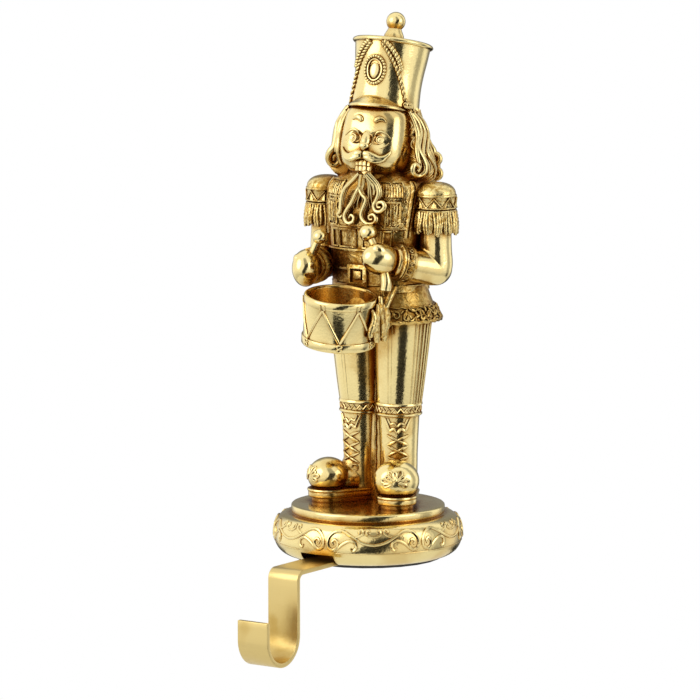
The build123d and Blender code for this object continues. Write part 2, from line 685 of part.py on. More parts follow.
def hat():
    """The tall hat in the head's own place: flared body, rim, knob, visor, medallion and swags."""
    rim_foot = HAT_HEIGHT - HAT_RIM_HEIGHT
    rim = HAT_TOP_RADIUS + HAT_RIM_STAND
    flare = HAT_TOP_RADIUS - HAT_WAIST_RADIUS
    collar_top = HAT_HEIGHT + KNOB_COLLAR_HEIGHT
    outline = [
        (HAT_FOOT_RADIUS, 0),
        (HAT_WAIST_RADIUS, 0.4 * rim_foot),
        (HAT_WAIST_RADIUS + 0.3 * flare, 0.75 * rim_foot),
        (HAT_TOP_RADIUS, rim_foot),
        (rim, rim_foot + 0.3 * HAT_RIM_HEIGHT),
        (rim, rim_foot + 0.7 * HAT_RIM_HEIGHT),
        (HAT_TOP_RADIUS, HAT_HEIGHT),
        (1.5 * KNOB_COLLAR_RADIUS, HAT_HEIGHT),
        (KNOB_COLLAR_RADIUS, HAT_HEIGHT + KNOB_COLLAR_HEIGHT / 3),
        (0.6 * KNOB_COLLAR_RADIUS, collar_top),
    ]
    visor = [
        (HAT_FOOT_RADIUS, -VISOR_FALL),
        (HAT_FOOT_RADIUS, VISOR_EDGE - VISOR_FALL),
        (HAT_FOOT_RADIUS - VISOR_REACH, VISOR_RISE),
    ]
    badge = Plane(origin=(0, 0, 0.52 * HAT_HEIGHT), x_dir=(1, 0, 0), z_dir=(0, -1, 0)).location
    medallion = []
    for inset, reach in (
        (0, HAT_WAIST_RADIUS / 2),
        (0, HAT_WAIST_RADIUS + MEDALLION_STAND),
        (MEDALLION_FRAME, HAT_WAIST_RADIUS + MEDALLION_STAND),
        (MEDALLION_FRAME, HAT_WAIST_RADIUS + 0.4 * MEDALLION_STAND),
    ):
        place = badge * Pos(0, 0, reach)
        medallion.append(ring(place, MEDALLION_WIDTH / 2 - inset, MEDALLION_HEIGHT / 2 - inset, OVAL_SIDES // 2))
    parts = [
        lathe(Location(), outline),
        egg((0, 0, collar_top + 0.8 * KNOB_RADIUS), UP, KNOB_RADIUS, KNOB_RADIUS),
        lathe(Pos(0, -VISOR_REACH, 0), visor),
        skin(medallion),
    ]

    def on_hat(turn, level):
        radius = HAT_WAIST_RADIUS + flare * max(0, level - 0.4)
        return Vector(radius * sin(radians(turn)), -radius * cos(radians(turn)), level * HAT_HEIGHT)

    for side in SIDES:
        swag = [on_hat(8 * side, 0.86), on_hat(24 * side, 0.74), on_hat(40 * side, 0.56)]
        swag += [on_hat(54 * side, 0.34), on_hat(64 * side, 0.10)]
        parts.append(rod(swag, SWAG_RADIUS))
    return [Pos(0, 0, HAT_SEAT) * part for part in parts]


def cast_figure():
    """Figure and base as the one casting that they are."""
    crown = Pos(0, BODY_SETBACK, HEAD_CENTRE) * Rot(-HEAD_LEAN, 0, HEAD_TURN)
    with SkipClean():
        lower = join([join([base()] + scrolls()), join(boots()), join(trousers())])
        middle = join([join(coat()), join(epaulettes()), join(arms()), drum()])
        upper = join([crown * join(head()), crown * join(hair()), crown * join(hat()), join(beard())])
        return join([lower, middle, upper]) - base_cuts() - drum_recess()


def hook_strip():
    """The steel strip: straight tail, bend down over the mantel's edge, and an open J at the bottom."""
    front = -STRIP_REACH - STRIP_THICKNESS
    outer_bend = BEND_RADIUS + STRIP_THICKNESS
    outer_hook = HOOK_RADIUS + STRIP_THICKNESS
    bottom = STRIP_TOP - HOOK_DROP
    centre = (front - HOOK_RADIUS, bottom + outer_hook)
    lip_top = bottom + LIP_HEIGHT
    bend = (front + outer_bend, STRIP_TOP - outer_bend)
    edges = [
        Line((STRIP_TAIL, BASE_UNDERSIDE), (STRIP_TAIL, STRIP_TOP)),
        Line((STRIP_TAIL, STRIP_TOP), (bend[0], STRIP_TOP)),
        CenterArc(bend, outer_bend, 90, 90),
        Line((front, bend[1]), (front, centre[1])),
        CenterArc(centre, HOOK_RADIUS, 180, 180),
        Line((centre[0] - HOOK_RADIUS, centre[1]), (centre[0] - HOOK_RADIUS, lip_top)),
        Line((centre[0] - HOOK_RADIUS, lip_top), (centre[0] - outer_hook, lip_top)),
        Line((centre[0] - outer_hook, lip_top), (centre[0] - outer_hook, centre[1])),
        CenterArc(centre, outer_hook, 180, 180),
        Line((-STRIP_REACH, centre[1]), (-STRIP_REACH, bend[1])),
        CenterArc(bend, BEND_RADIUS, 90, 90),
        Line((bend[0], BASE_UNDERSIDE), (STRIP_TAIL, BASE_UNDERSIDE)),
    ]
    strip = extrude(Plane.YZ * make_face(edges), STRIP_WIDTH / 2, both=True)
    ends = strip.edges().filter_by(Axis.Y).filter_by(lambda edge: edge.length < 1.01 * STRIP_THICKNESS)
    lip_corners = [edge for edge in ends if abs(edge.center().Z - lip_top) < 0.01]
    tail_corners = strip.edges().filter_by(Axis.Z).filter_by(lambda edge: edge.center().Y > STRIP_TAIL - 0.01)
    strip = fillet(lip_corners + tail_corners, STRIP_CORNER)
    for place in SCREW_PLACES:
        hole = Cylinder(SCREW_DIAMETER / 2 + SCREW_CLEARANCE, STRIP_THICKNESS, align=UPRIGHT)
        head_radius = SCREW_HEAD_DIAMETER / 2 + SCREW_CLEARANCE
        sink = Cone(head_radius, SCREW_DIAMETER / 2 + SCREW_CLEARANCE, SCREW_HEAD_HEIGHT, align=UPRIGHT)
        strip -= Pos(0, place, BASE_UNDERSIDE) * (hole + sink)
    return strip


def hook_screws():
    """The two countersunk screws that hold the strip's tail, with a cross-shaped socket in each head."""
    slot = Box(SCREW_HEAD_DIAMETER * 0.6, SOCKET_WIDTH / 3, SOCKET_DEPTH, align=UPRIGHT)
    outline = [
        (SCREW_HEAD_DIAMETER / 2, 0),
        (SCREW_DIAMETER / 2, SCREW_HEAD_HEIGHT),
        (SCREW_DIAMETER / 2, SCREW_LENGTH - SCREW_DIAMETER),
        (SCREW_DIAMETER / 6, SCREW_LENGTH - SCREW_DIAMETER / 2),
    ]
    screw = lathe(Location(), outline) - slot - Rot(0, 0, 90) * slot
    return Compound(children=[Pos(0, place, BASE_UNDERSIDE) * screw for place in SCREW_PLACES])


def base_pad():
    """The thin non-slip disc glued under the base, which also covers the strip's tail and its screws."""
    radius = BASE_RADIUS - BASE_FOOT_INSET - PAD_INSET
    return lathe(Location(), [(radius, 0), (radius, PAD_THICKNESS)])


export_step(cast_figure(), "parts/cast_figure.step")
export_step(hook_strip(), "parts/hook_strip.step")
export_step(hook_screws(), "parts/hook_screws.step")
export_step(base_pad(), "parts/base_pad.step")
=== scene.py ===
import random
from math import atan2, cos, degrees, pi, radians, sin, sqrt

import bpy
from mathutils import Matrix, Vector


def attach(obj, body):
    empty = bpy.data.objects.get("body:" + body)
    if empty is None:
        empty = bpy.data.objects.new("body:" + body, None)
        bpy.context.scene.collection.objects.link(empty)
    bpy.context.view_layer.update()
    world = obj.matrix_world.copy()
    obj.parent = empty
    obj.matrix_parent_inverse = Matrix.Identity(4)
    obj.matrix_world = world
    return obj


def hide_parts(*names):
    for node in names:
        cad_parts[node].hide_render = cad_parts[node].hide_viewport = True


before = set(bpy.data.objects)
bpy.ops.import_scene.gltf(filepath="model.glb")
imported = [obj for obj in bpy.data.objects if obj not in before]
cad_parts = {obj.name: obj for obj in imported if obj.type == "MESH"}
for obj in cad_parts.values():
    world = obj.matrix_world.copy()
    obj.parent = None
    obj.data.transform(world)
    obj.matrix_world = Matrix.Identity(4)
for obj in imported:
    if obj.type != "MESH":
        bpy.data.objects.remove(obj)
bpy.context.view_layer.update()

# Round base.
# A zinc casting in one piece with the figure, plated in gold that is pale on the high places, with amber shade painted
# into the recesses. A bulging rim with raised scrolls, a thin line, a flat plate, and a slot that lets the hook strip
# out.

BASE_RADIUS = 40.0
BASE_FOOT = 33.0
BASE_SHOULDER = 33.3
PLATE_RADIUS = 32.7
PLATE_TOP = 22.6
WIDEST_LEVEL = 9.0
BULGE_TOP = 18.7
BULGE_POWER = 2.6
UNDERSIDE = 1.4
CHANNEL = (15.6, 56.3, 2.0)
SLOT_MOUTH = (16.4, 14.0, 4.8)
SCREW_PLACES = (8.0, -10.0)
SCREW_RADIUS = 1.6
SCROLL_PAIRS = 6
SCROLL_START = 7.4


class Shade:
    """A socket of a material's nodes, so that shader sums are written as sums."""

    def __init__(self, tree, socket):
        self.tree = tree
        self.socket = socket

    def sum(self, operation, first, second):
        return node(self.tree, "Math", {0: first, 1: second}, operation=operation)

    def __add__(self, other):
        return self.sum("ADD", self, other)

    def __sub__(self, other):
        return self.sum("SUBTRACT", self, other)

    def __rsub__(self, other):
        return self.sum("SUBTRACT", other, self)

    def __mul__(self, other):
        return self.sum("MULTIPLY", self, other)

    __radd__ = __add__
    __rmul__ = __mul__


def fill(tree, made, sockets):
    """Fills a node's sockets with values or with what other nodes give."""
    for key, value in sockets.items():
        if isinstance(value, Shade):
            tree.links.new(value.socket, made.inputs[key])
        else:
            made.inputs[key].default_value = value


def node(tree, kind, sockets, out=0, **settings):
    """A shader node with its settings made first and its sockets filled after them."""
    made = tree.nodes.new("ShaderNode" + kind)
    for key, value in settings.items():
        setattr(made, key, value)
    fill(tree, made, sockets)
    return Shade(tree, made.outputs[out])


def noise(place, scale, detail, **more):
    """Cloudy values round a half, finer with a larger scale."""
    return node(place.tree, "TexNoise", {"Vector": place, "Scale": scale, "Detail": detail, **more})


def between(value, low, high):
    """0 below low, 1 above high and a soft ramp between them."""
    return node(value.tree, "MapRange", {"Value": value, "From Min": low, "From Max": high},
                interpolation_type="SMOOTHSTEP")


def blend(factor, first, second):
    """A mix of two colours."""
    return node(factor.tree, "Mix", {0: factor, 6: first, 7: second}, 2, data_type="RGBA")


def bumps(height, strength, depth):
    return node(height.tree, "Bump", {"Strength": strength, "Distance": depth, "Height": height})


def blank(name):
    """A new material with its node tree, its shader and places in the piece's own coordinates."""
    material = bpy.data.materials.new(name)
    material.use_nodes = True
    tree = material.node_tree
    return material, tree, tree.nodes["Principled BSDF"], node(tree, "TexCoord", {}, 3)


def metal(name, bright, shade_amber, recess_shade, rough, pits, emboss, grain=(1, 1, 1)):
    """A plated metal, its own pale gold where open, with painted shade that darkens it to a warm brown where shut in
    and a deep brown in recesses; depths are in millimetres.
    """
    material, tree, shader, place = blank(name)
    fine = noise(node(tree, "Mapping", {"Vector": place, "Scale": grain}), 900, 1)
    cloud = noise(place, 170, 3)
    patch = noise(place, 46, 2)
    raised = noise(place, 520, 4, Distortion=0.8)
    # Painted shade: ambient occlusion within 3.2 mm and within 26 mm turns the colour amber and brown in recesses and
    # between parts, where shade falls; cloudy noise frays its edges and a second noise adds random patches of duller
    # tone.
    close, wide = (node(tree, "AmbientOcclusion", {"Distance": reach}, 1, samples=6) for reach in (0.0032, 0.026))
    unshaded_near = between(close + 0.3 * (cloud - 0.5), 0.40, 0.92)
    unshaded_far = between(wide + 0.25 * (cloud - 0.5), 0.36, 0.96)
    unshaded_share_and_tone = unshaded_near * (0.22 + 0.78 * unshaded_far) * (1 - 0.28 * between(patch, 0.52, 0.68))
    # On embossed metal the colour is also darker where the raised grain noise is low, the same noise that bumps it.
    if emboss:
        unshaded_share_and_tone = unshaded_share_and_tone * (0.56 + 0.44 * between(raised, 0.36, 0.58))
    colour = blend(between(unshaded_share_and_tone, 0.0, 0.5), (*recess_shade, 1), (*shade_amber, 1))
    fill(tree, shader, {
        "Metallic": 1,
        "Base Color": blend(between(unshaded_share_and_tone, 0.40, 0.95), colour, (*bright, 1)),
        "Roughness": rough + 0.14 * (1 - unshaded_share_and_tone) + 0.14 * (fine - 0.5),
        "Normal": bumps(pits * fine + emboss * raised, 1.0, 0.001),
    })
    return material


# Gold plating; metal() paints amber and brown shade into its recesses and between parts.
gold = metal("gold_plating_with_painted_shade", (0.92, 0.755, 0.345), (0.57, 0.325, 0.06), (0.26, 0.095, 0.01), 0.14, 0.045, 0.0)


def shares(count):
    """Even steps from 0 to 1."""
    return [step / (count - 1) for step in range(count)]


def around(count, shift=0.0):
    """Even angles over a full turn."""
    return [2 * pi * (step + shift) / count for step in range(count)]


def polar(angle, level, wide, deep=None, back=0.0):
    """A point round an upright axis; the angle counts from the front towards the figure's left."""
    return Vector((wide * sin(angle), back - (wide if deep is None else deep) * cos(angle), level))


def pick(first, *others):
    bpy.ops.object.select_all(action="DESELECT")
    for piece in (first,) + others:
        piece.select_set(True)
    bpy.context.view_layer.objects.active = first


def editing():
    """Opens the active piece for edits, with all of it selected."""
    bpy.ops.object.mode_set(mode="EDIT")
    bpy.ops.mesh.select_all(action="SELECT")


def outward():
    """Turns all faces outward and ends the edits."""
    bpy.ops.mesh.select_all(action="SELECT")
    bpy.ops.mesh.normals_make_consistent(inside=False)
    bpy.ops.object.mode_set(mode="OBJECT")


def drawn(rows, sides):
    """A closed form drawn up from a disc: each row is half width, half depth and height."""
    bpy.ops.mesh.primitive_circle_add(vertices=sides, radius=1, fill_type="NGON")
    piece = bpy.context.object
    editing()
    bpy.ops.transform.resize(value=(rows[0][0], rows[0][1], 1), center_override=(0, 0, 0))
    bpy.ops.transform.translate(value=(0, 0, rows[0][2]))
    for low, high in zip(rows, rows[1:]):
        bpy.ops.mesh.extrude_region_move(TRANSFORM_OT_translate={"value": (0, 0, high[2] - low[2])})
        wider = (high[0] / low[0], high[1] / low[1], 1)
        bpy.ops.transform.resize(value=wider, center_override=(0, 0, high[2]))
    outward()
    return piece


def turned(outline, sides):
    """A round form over an outline of (radius, height) points."""
    return drawn([(radius, radius, height) for radius, height in outline], sides)


def moved(piece, way):
    """The piece moved by a matrix, or by so much along each axis."""
    piece.data.transform(way if isinstance(way, Matrix) else Matrix.Translation(way))
    return piece


def spun(turn, axis="Z"):
    return Matrix.Rotation(radians(turn), 4, axis)


def flowing(points, steps, closed=False):
    """A smooth row of points through the given ones."""
    spots = [Vector(point) for point in points]
    count = len(spots)
    row = []
    for index in range(count if closed else count - 1):
        near = range(index - 1, index + 3)
        a, b, c, d = (spots[at % count if closed else min(max(at, 0), count - 1)] for at in near)
        for step in range(steps):
            t = step / steps
            row.append(0.5 * (2 * b + (c - a) * t + (2 * a - 5 * b + 4 * c - d) * t * t
                              + (3 * b - a - 3 * c + d) * t * t * t))
    return row if closed else row + [spots[-1]]


def wires(lines, fineness=2):
    """Raised lines in one mesh; each has points, steps between them, a radius or radii, and True where it closes."""
    data = bpy.data.curves.new("lines", "CURVE")
    data.dimensions = "3D"
    data.bevel_depth = 1
    data.bevel_resolution = fineness
    data.use_fill_caps = True
    for points, steps, radius, *closed in lines:
        row = flowing(points, steps, bool(closed))
        radii = radius if isinstance(radius, tuple) else (radius, radius)
        spline = data.splines.new("POLY")
        spline.points.add(len(row) - 1)
        spline.use_cyclic_u = bool(closed)
        for point, place, share in zip(spline.points, row, shares(len(row))):
            low = min(int(share * (len(radii) - 1)), len(radii) - 2)
            point.co = (*place, 1)
            point.radius = radii[low] + (radii[low + 1] - radii[low]) * (share * (len(radii) - 1) - low)
    piece = bpy.data.objects.new("lines", data)
    bpy.context.collection.objects.link(piece)
    pick(piece)
    bpy.ops.object.convert(target="MESH")
    return bpy.context.object


def bundle(pieces):
    """One object of several."""
    pick(*pieces)
    if len(pieces) > 1:
        bpy.ops.object.join()
    return bpy.context.object


def worked(piece, kind, **settings):
    """The piece with a modifier worked into its mesh."""
    pick(piece)
    modifier = piece.modifiers.new("work", kind)
    for key, value in settings.items():
        setattr(modifier, key, value)
    bpy.ops.object.modifier_apply(modifier=modifier.name)
    return piece


def cut(piece, tool):
    """Takes the tool's form out of the piece."""
    worked(piece, "BOOLEAN", operation="DIFFERENCE", solver="EXACT", object=tool)
    bpy.data.objects.remove(tool)


def block(size, centre, edge=0.0):
    """A box, with rounded edges where an edge is given."""
    bpy.ops.mesh.primitive_cube_add(size=1)
    piece = moved(bpy.context.object, Matrix.Translation(centre) @ Matrix.Diagonal((*size, 1)))
    if edge:
        editing()
        bpy.ops.mesh.bevel(offset=edge, segments=2, affect="EDGES")
        bpy.ops.object.mode_set(mode="OBJECT")
    return piece


def settle(parts, name, material, crease, node_name="cast_figure"):
    """Puts the finished piece in metres, with its material, on the body and in place of its CAD node."""
    piece = moved(bundle(parts), Matrix.Scale(0.001, 4))
    editing()
    bpy.ops.mesh.remove_doubles(threshold=0.0000005)
    outward()
    bpy.ops.object.shade_smooth_by_angle(angle=radians(crease))
    piece.name = name
    piece.data.name = name
    piece.data.materials.clear()
    piece.data.materials.append(material)
    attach(piece, "root")
    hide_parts(node_name)


def bulge_radius(level):
    """How far the base's rim stands from the axis at a height."""
    if level > WIDEST_LEVEL:
        share = min(1, (level - WIDEST_LEVEL) / (BULGE_TOP - WIDEST_LEVEL))
        return BASE_SHOULDER + (BASE_RADIUS - BASE_SHOULDER) * (1 - share ** BULGE_POWER) ** (1 / BULGE_POWER)
    share = min(1, (WIDEST_LEVEL - level) / (WIDEST_LEVEL - UNDERSIDE))
    return BASE_FOOT + (BASE_RADIUS - BASE_FOOT) * sqrt(1 - share * share)


def on_bulge(turn, level, out=0.0):
    return polar(radians(turn), level, bulge_radius(level) + out)


levels = [WIDEST_LEVEL + (WIDEST_LEVEL - UNDERSIDE) * sin(pi / 2 * (share - 1)) for share in shares(13)[1:-1]]
levels += [WIDEST_LEVEL + (BULGE_TOP - WIDEST_LEVEL) * sin(pi / 2 * share) for share in shares(13)]
outline = [(BASE_FOOT - 0.6, UNDERSIDE)] + [(bulge_radius(level), level) for level in levels]
outline += [(33.0, 18.75), (32.6, 18.85), (32.45, 19.0), (32.5, 19.15)]
for inset, level in ((0.1, 19.35), (0, 19.6), (0, 21.7), (0.1, 22.15), (0.4, 22.45), (0.9, PLATE_TOP)):
    outline.append((PLATE_RADIUS - inset, level))
rim = turned(outline + [(29, PLATE_TOP), (20, PLATE_TOP), (8, PLATE_TOP)], 160)
cut(rim, block(CHANNEL, (0, CHANNEL[1] / 2 - BASE_RADIUS, UNDERSIDE + CHANNEL[2] / 2)))
cut(rim, block(SLOT_MOUTH, (0, -BASE_FOOT, UNDERSIDE + SLOT_MOUTH[2] / 2), 0.5))
for place in SCREW_PLACES:
    cut(rim, moved(turned([(SCREW_RADIUS, 0.0), (SCREW_RADIUS, 9.0)], 16), (0, place, UNDERSIDE)))

lines = [([on_bulge(turn, 7.4) for turn in range(14, 348, 3)], 1, 0.2)]
SCROLL = ((33, 11.2), (28, 11.7), (23, 12.9), (17, 15.0), (11.6, 16.6), (6.2, 16.2), (2.6, 14.2), (1.6, 11.6),
          (2.6, 9.6), (5.6, 8.8), (8.4, 10.2), (8.4, 12.2), (6.4, 13.2), (4.7, 12.2), (5.6, 11.0))
LEAF = ((6.0, 8.4), (9.0, 9.8), (12.5, 11.7), (17.0, 12.9), (20.6, 12.0), (21.0, 10.0), (19.2, 8.8), (17.8, 9.8))
TIP = ((20.5, 14.3), (23.5, 15.0), (25.8, 16.2), (24.8, 17.3), (22.8, 16.7), (23.4, 15.9))
CUP = ((33, 14.6), (30, 14.9), (27.8, 16.0), (28.8, 17.2), (30.4, 16.6), (29.8, 15.9))
for pair in range(SCROLL_PAIRS):
    middle = SCROLL_START + 360 / SCROLL_PAIRS * pair
    for side in (-1, 1):
        for line, thick in ((SCROLL, 0.8), (LEAF, 0.72), (TIP, 0.65), (CUP, 0.6)):
            points = [on_bulge(middle + side * across * 30 / 33, level, -0.18) for across, level in line]
            lines.append((points, 5, (0.8 * thick, thick, thick, 0.75 * thick)))
settle([rim, wires(lines)], "carved_base", gold, 35)

# Boots.
# Cast with the legs: two-tier soles, round carved toes, laced shafts and a banded top.
# The laces, flap lines and petals on the toes are raised lines of the same casting.

SETBACK = 9.6
LEG_SPACING = 18.6
SPLAY = 30
SOLE_TOP = 27.4
FOOT_REACH = 16.2
TOE_SINK = 1.9
LOOP = around(8) + [2 * pi]


def aimed(axis):
    """A turn that takes the upright axis to the given one."""
    return Vector(axis).to_track_quat("Z", "Y").to_matrix().to_4x4()


def ball(centre, radii, axis=(0, 0, 1), segments=28, rings=18):
    """A ball, oval or not, with its last radius along the axis."""
    bpy.ops.mesh.primitive_uv_sphere_add(segments=segments, ring_count=rings, radius=1)
    return moved(bpy.context.object, Matrix.Translation(centre) @ aimed(axis) @ Matrix.Diagonal((*radii, 1)))


def melted(pieces, grain, passes):
    """Several forms melted into one skin, as wax is smoothed together for a casting's pattern."""
    piece = worked(bundle(pieces), "REMESH", mode="VOXEL", voxel_size=grain)
    return worked(piece, "SMOOTH", factor=0.5, iterations=passes)


def sole(width, low, high, edge):
    """A slab whose outline is half a round at the heel and half a wider one at the toe."""
    piece = turned([(width, low), (width, high)], 48)
    for vertex in piece.data.vertices:
        if vertex.co.x > 0.001:
            vertex.co.x = FOOT_REACH + vertex.co.x * 1.05
            vertex.co.y *= 1.06
    return worked(piece, "BEVEL", width=edge, segments=3, limit_method="ANGLE")


def on_shaft(turn, level, out):
    """A point on a boot's shaft; the turn counts from the toe."""
    return polar(radians(turn) + pi / 2, level, 8.05 + 0.035 * (level - 40) + out)


boot_parts = []
for side, lace_turn, toe in ((-1, 22, (8.9, 8.8, 7.9)), (1, 0, (9.3, 9.7, 8.9))):
    toe_level = SOLE_TOP + toe[2] - TOE_SINK
    shaft = turned([(8.5, 25.5), (8.2, 30), (8.0, 36), (8.1, 44), (8.4, 52), (8.8, 60), (9.0, 64)], 48)
    instep = ball((6.6, 0, SOLE_TOP + 3.6), (11.0, 6.9, 7.2))
    tongue = ball((4.2, 0, SOLE_TOP + 9.0), (5.2, 5.6, 6.6), (-0.35, 0, 1))
    parts = [sole(6.9, 22.0, 24.9, 0.3), sole(8.2, 24.5, 27.3, 0.7), melted([shaft, instep, tongue], 0.42, 8),
             ball((FOOT_REACH, 0, toe_level), toe, segments=48, rings=32)]
    welt = []
    for turn in around(48, 0.5):
        reach = FOOT_REACH + 8.4 * cos(turn) if cos(turn) > 0 else 7.9 * cos(turn)
        welt.append((reach, 8.25 * sin(turn), SOLE_TOP + 0.2))
    lines = [(welt, 2, 0.7, True)]
    for ray in range(9):
        petal = []
        for share in shares(9):
            away = 0.14 + 0.52 * (1 - abs(2 * share - 1) ** 1.5) * (1.0 if ray % 2 else 0.78)
            swing = radians(-14 + 26 * ray) + 0.19 * sin(2 * pi * share)
            petal.append((FOOT_REACH + toe[0] * cos(away), toe[1] * sin(away) * cos(swing),
                          toe_level + toe[2] * sin(away) * sin(swing)))
        lines.append((petal, 2, (0.35, 0.55, 0.35)))
    for cross in (-1, 1):
        for level in (38.8, 43.4, 48.0):
            lace = [on_shaft(lace_turn + cross * (32 - 16 * step), level + 1.1 * step, 0.1) for step in range(5)]
            lines.append((lace, 3, (0.35, 0.75, 0.45, 0.75, 0.35)))
        bow = [on_shaft(lace_turn + cross * (19 - 9 * cos(spot)), 36.8 + 1.3 * sin(spot), 0.2) for spot in LOOP]
        lines.append((bow, 3, 0.4))
        for out, thick, flap in (
            (0.15, (0.75, 0.7, 0.45), ((0, 53.6), (10, 55.2), (22, 54.4), (30, 57.0), (38, 59.6))),
            (0.1, 0.5, ((0, 56.2), (9, 57.6), (20, 57.2), (28, 59.4))),
        ):
            lines.append(([on_shaft(lace_turn + cross * turn, level, out) for turn, level in flap], 4, thick))
    band = [(9.0, 60.2), (9.6, 60.3), (10.0, 60.7), (10.0, 61.2), (9.6, 61.6), (9.3, 61.8), (9.3, 64.2), (9.6, 64.4),
            (10.1, 64.8), (10.1, 65.5), (9.8, 65.9), (8.9, 66.1)]
    zigzag = [polar(turn, 63.85 if step % 2 else 62.15, 9.4) for step, turn in enumerate(around(44, 11))]
    lines.append((zigzag, 1, 0.45, True))
    boot = moved(bundle(parts + [turned(band, 64), wires(lines)]), spun(side * SPLAY - 90))
    boot_parts.append(moved(boot, (side * LEG_SPACING / 2, SETBACK, 0)))
settle(boot_parts, "laced_boots", gold, 40)

# Trousers.
# Straight legs that widen to the hip, cast with the boots, with a pressed crease down each front and ridges outside.
# A web of the casting fills the gap between the legs and boots, with the mould's parting line down its middle.

THIGH = 12.6
KNEE = 9.3
KNEE_LEVEL = 63.0
LEG_RISE = 43.0


def leg_radius(share):
    return KNEE + (THIGH - KNEE) * max(share, 0.0001) ** 0.8


def leg_middle(side, level):
    """Where a leg's axis lies across the figure; the legs part towards the hip."""
    return side * (LEG_SPACING / 2 + 2.2 * (level - KNEE_LEVEL) / LEG_RISE)


def leg_point(side, turn, level, out):
    """A point on a trouser leg; the turn counts from the front towards the outer side."""
    radius = leg_radius((level - KNEE_LEVEL) / LEG_RISE) + out
    return polar(side * radians(turn), level, radius, back=SETBACK) + Vector((leg_middle(side, level), 0, 0))


leg_parts = []
for side in (-1, 1):
    leg = turned([(leg_radius(share), KNEE_LEVEL + LEG_RISE * share) for share in shares(15)], 72)
    for vertex in leg.data.vertices:
        vertex.co.x += leg_middle(side, vertex.co.z)
        vertex.co.y += SETBACK
    lines = []
    for turn, thick in ((4, 0.32), (12, 0.22), (62, 0.5), (72, 0.75), (82, 0.85), (92, 0.85), (102, 0.75), (112, 0.55),
                        (150, 0.5), (180, 0.5)):
        ridge = [leg_point(side, turn, level, -0.1) for level in range(64, 107, 3)]
        lines.append((ridge, 1, (0.6 * thick, thick)))
    leg_parts += [leg, wires(lines)]
seam = [(0.3 + 0.2 * sin(level), SETBACK - 4.1, level) for level in range(24, 105, 2)]
leg_parts += [block((14.0, 8.0, 83.5), (0, SETBACK, 63.0), 0.6), wires([(seam, 1, (0.3, 0.65, 0.5, 0.4))])]
settle(leg_parts, "creased_trousers", gold, 45)

# Coat.
# Body of the casting from the flared skirt to the collar: leafy hem trim, belt with a square buckle,
# and a chest with lapel straps, raised panels and lace, all in relief and left dull in the plating.

SQUARE = 2.6
COAT_ROWS = ((114.0, 20.6, 16.6), (118.0, 20.4, 16.3), (124.0, 20.6, 16.1), (130.0, 21.2, 16.0), (138.0, 21.8, 16.2),
             (146.0, 22.2, 16.4), (152.0, 22.3, 16.2), (156.0, 22.2, 15.6), (159.0, 21.4, 14.4), (161.2, 18.8, 13.2),
             (163.0, 14.6, 12.0), (165.5, 12.6, 11.4))
SKIRT_HEM = 101.0
SKIRT_RISE = 17.0
BELT = (21.5, 17.3)
BUCKLE_LEVEL = 120.8
# Embossed and darker copies of the gold; metal() paints amber and brown shade into the recesses of both.
embossed = metal("embossed_gold_plating", (0.88, 0.69, 0.285), (0.47, 0.26, 0.042), (0.18, 0.06, 0.006),
                 0.19, 0.05, 0.26)
darker_gold = metal("darker_gold_plating", (0.68, 0.47, 0.145), (0.40, 0.21, 0.032), (0.15, 0.05, 0.005),
                 0.20, 0.05, 0.22)


def spread(piece, places):
    """Copies of a small piece at each place; the first one itself is used up."""
    copies = []
    for place in places:
        copy = piece.copy()
        copy.data = piece.data.copy()
        bpy.context.collection.objects.link(copy)
        copies.append(moved(copy, place))
    bpy.data.objects.remove(piece)
    return copies


def in_rows(rows, level, column=1):
    """A value read between two rows of a table."""
    for low, high in zip(rows, rows[1:]):
        if low[0] <= level <= high[0]:
            return low[column] + (high[column] - low[column]) * (level - low[0]) / (high[0] - low[0])
    return rows[0][column] if level < rows[0][0] else rows[-1][column]


def coat_size(level):
    return in_rows(COAT_ROWS, level), in_rows(COAT_ROWS, level, 2)


def squared(value):
    return (1 if value >= 0 else -1) * abs(value) ** (2 / SQUARE)


def on_coat(turn, level, out=0.0):
    """A point on the coat's body; the turn counts from the front towards the figure's left."""
    width, depth = coat_size(level)
    spot = radians(turn)
    return Vector(((width + out) * squared(sin(spot)), SETBACK - (depth + out) * squared(cos(spot)), level))


def skirt_size(share):
    """Half width and half depth of the skirt at a share of its height."""
    flare = (1 - share) ** 1.35
    return 20.4 + 6.5 * flare, 16.4 + 7.0 * flare


def skirt_point(turn, level, out):
    width, depth = skirt_size((level - SKIRT_HEM) / SKIRT_RISE)
    return polar(radians(turn), level, width + out, depth + out, SETBACK)


def winding(sizes, pace, start):
    """How far aside and up each point of a curl lies, for a row of its sizes."""
    return [(size * sin(pace * step + start), size * cos(pace * step + start)) for step, size in enumerate(sizes)]


body = drawn([(width, depth, level) for level, width, depth in COAT_ROWS], 96)
for vertex in body.data.vertices:
    width, depth = coat_size(vertex.co.z)
    vertex.co = on_coat(degrees(atan2(vertex.co.x / width, -vertex.co.y / depth)), vertex.co.z)
skirt = drawn([(*skirt_size(share), SKIRT_HEM + SKIRT_RISE * share) for share in shares(9)], 96)
lines = []
for level, thick in ((107.6, 0.5), (101.6, 0.7)):
    lines.append(([skirt_point(turn, level + 0.3 * sin(turn), 0.1) for turn in range(0, 360, 4)], 1, thick, True))
rng = random.Random(11)
leaf = ball((0, 0, 0), (0.75, 1.9, 0.8), (1, 0, 0), 10, 7)
places = []
for row, level in enumerate((102.4, 104.4, 106.4)):
    for step in range(44):
        turn = 8.2 * step + 4 * (row % 2) + rng.uniform(-2.5, 2.5)
        place = Matrix.Translation(skirt_point(turn, level + rng.uniform(-0.7, 0.7), 0.25))
        tilt = spun(turn) @ Matrix.Rotation(rng.uniform(-1.4, 1.4), 4, "Y")
        places.append(place @ tilt @ Matrix.Scale(rng.uniform(0.7, 1.25), 4))
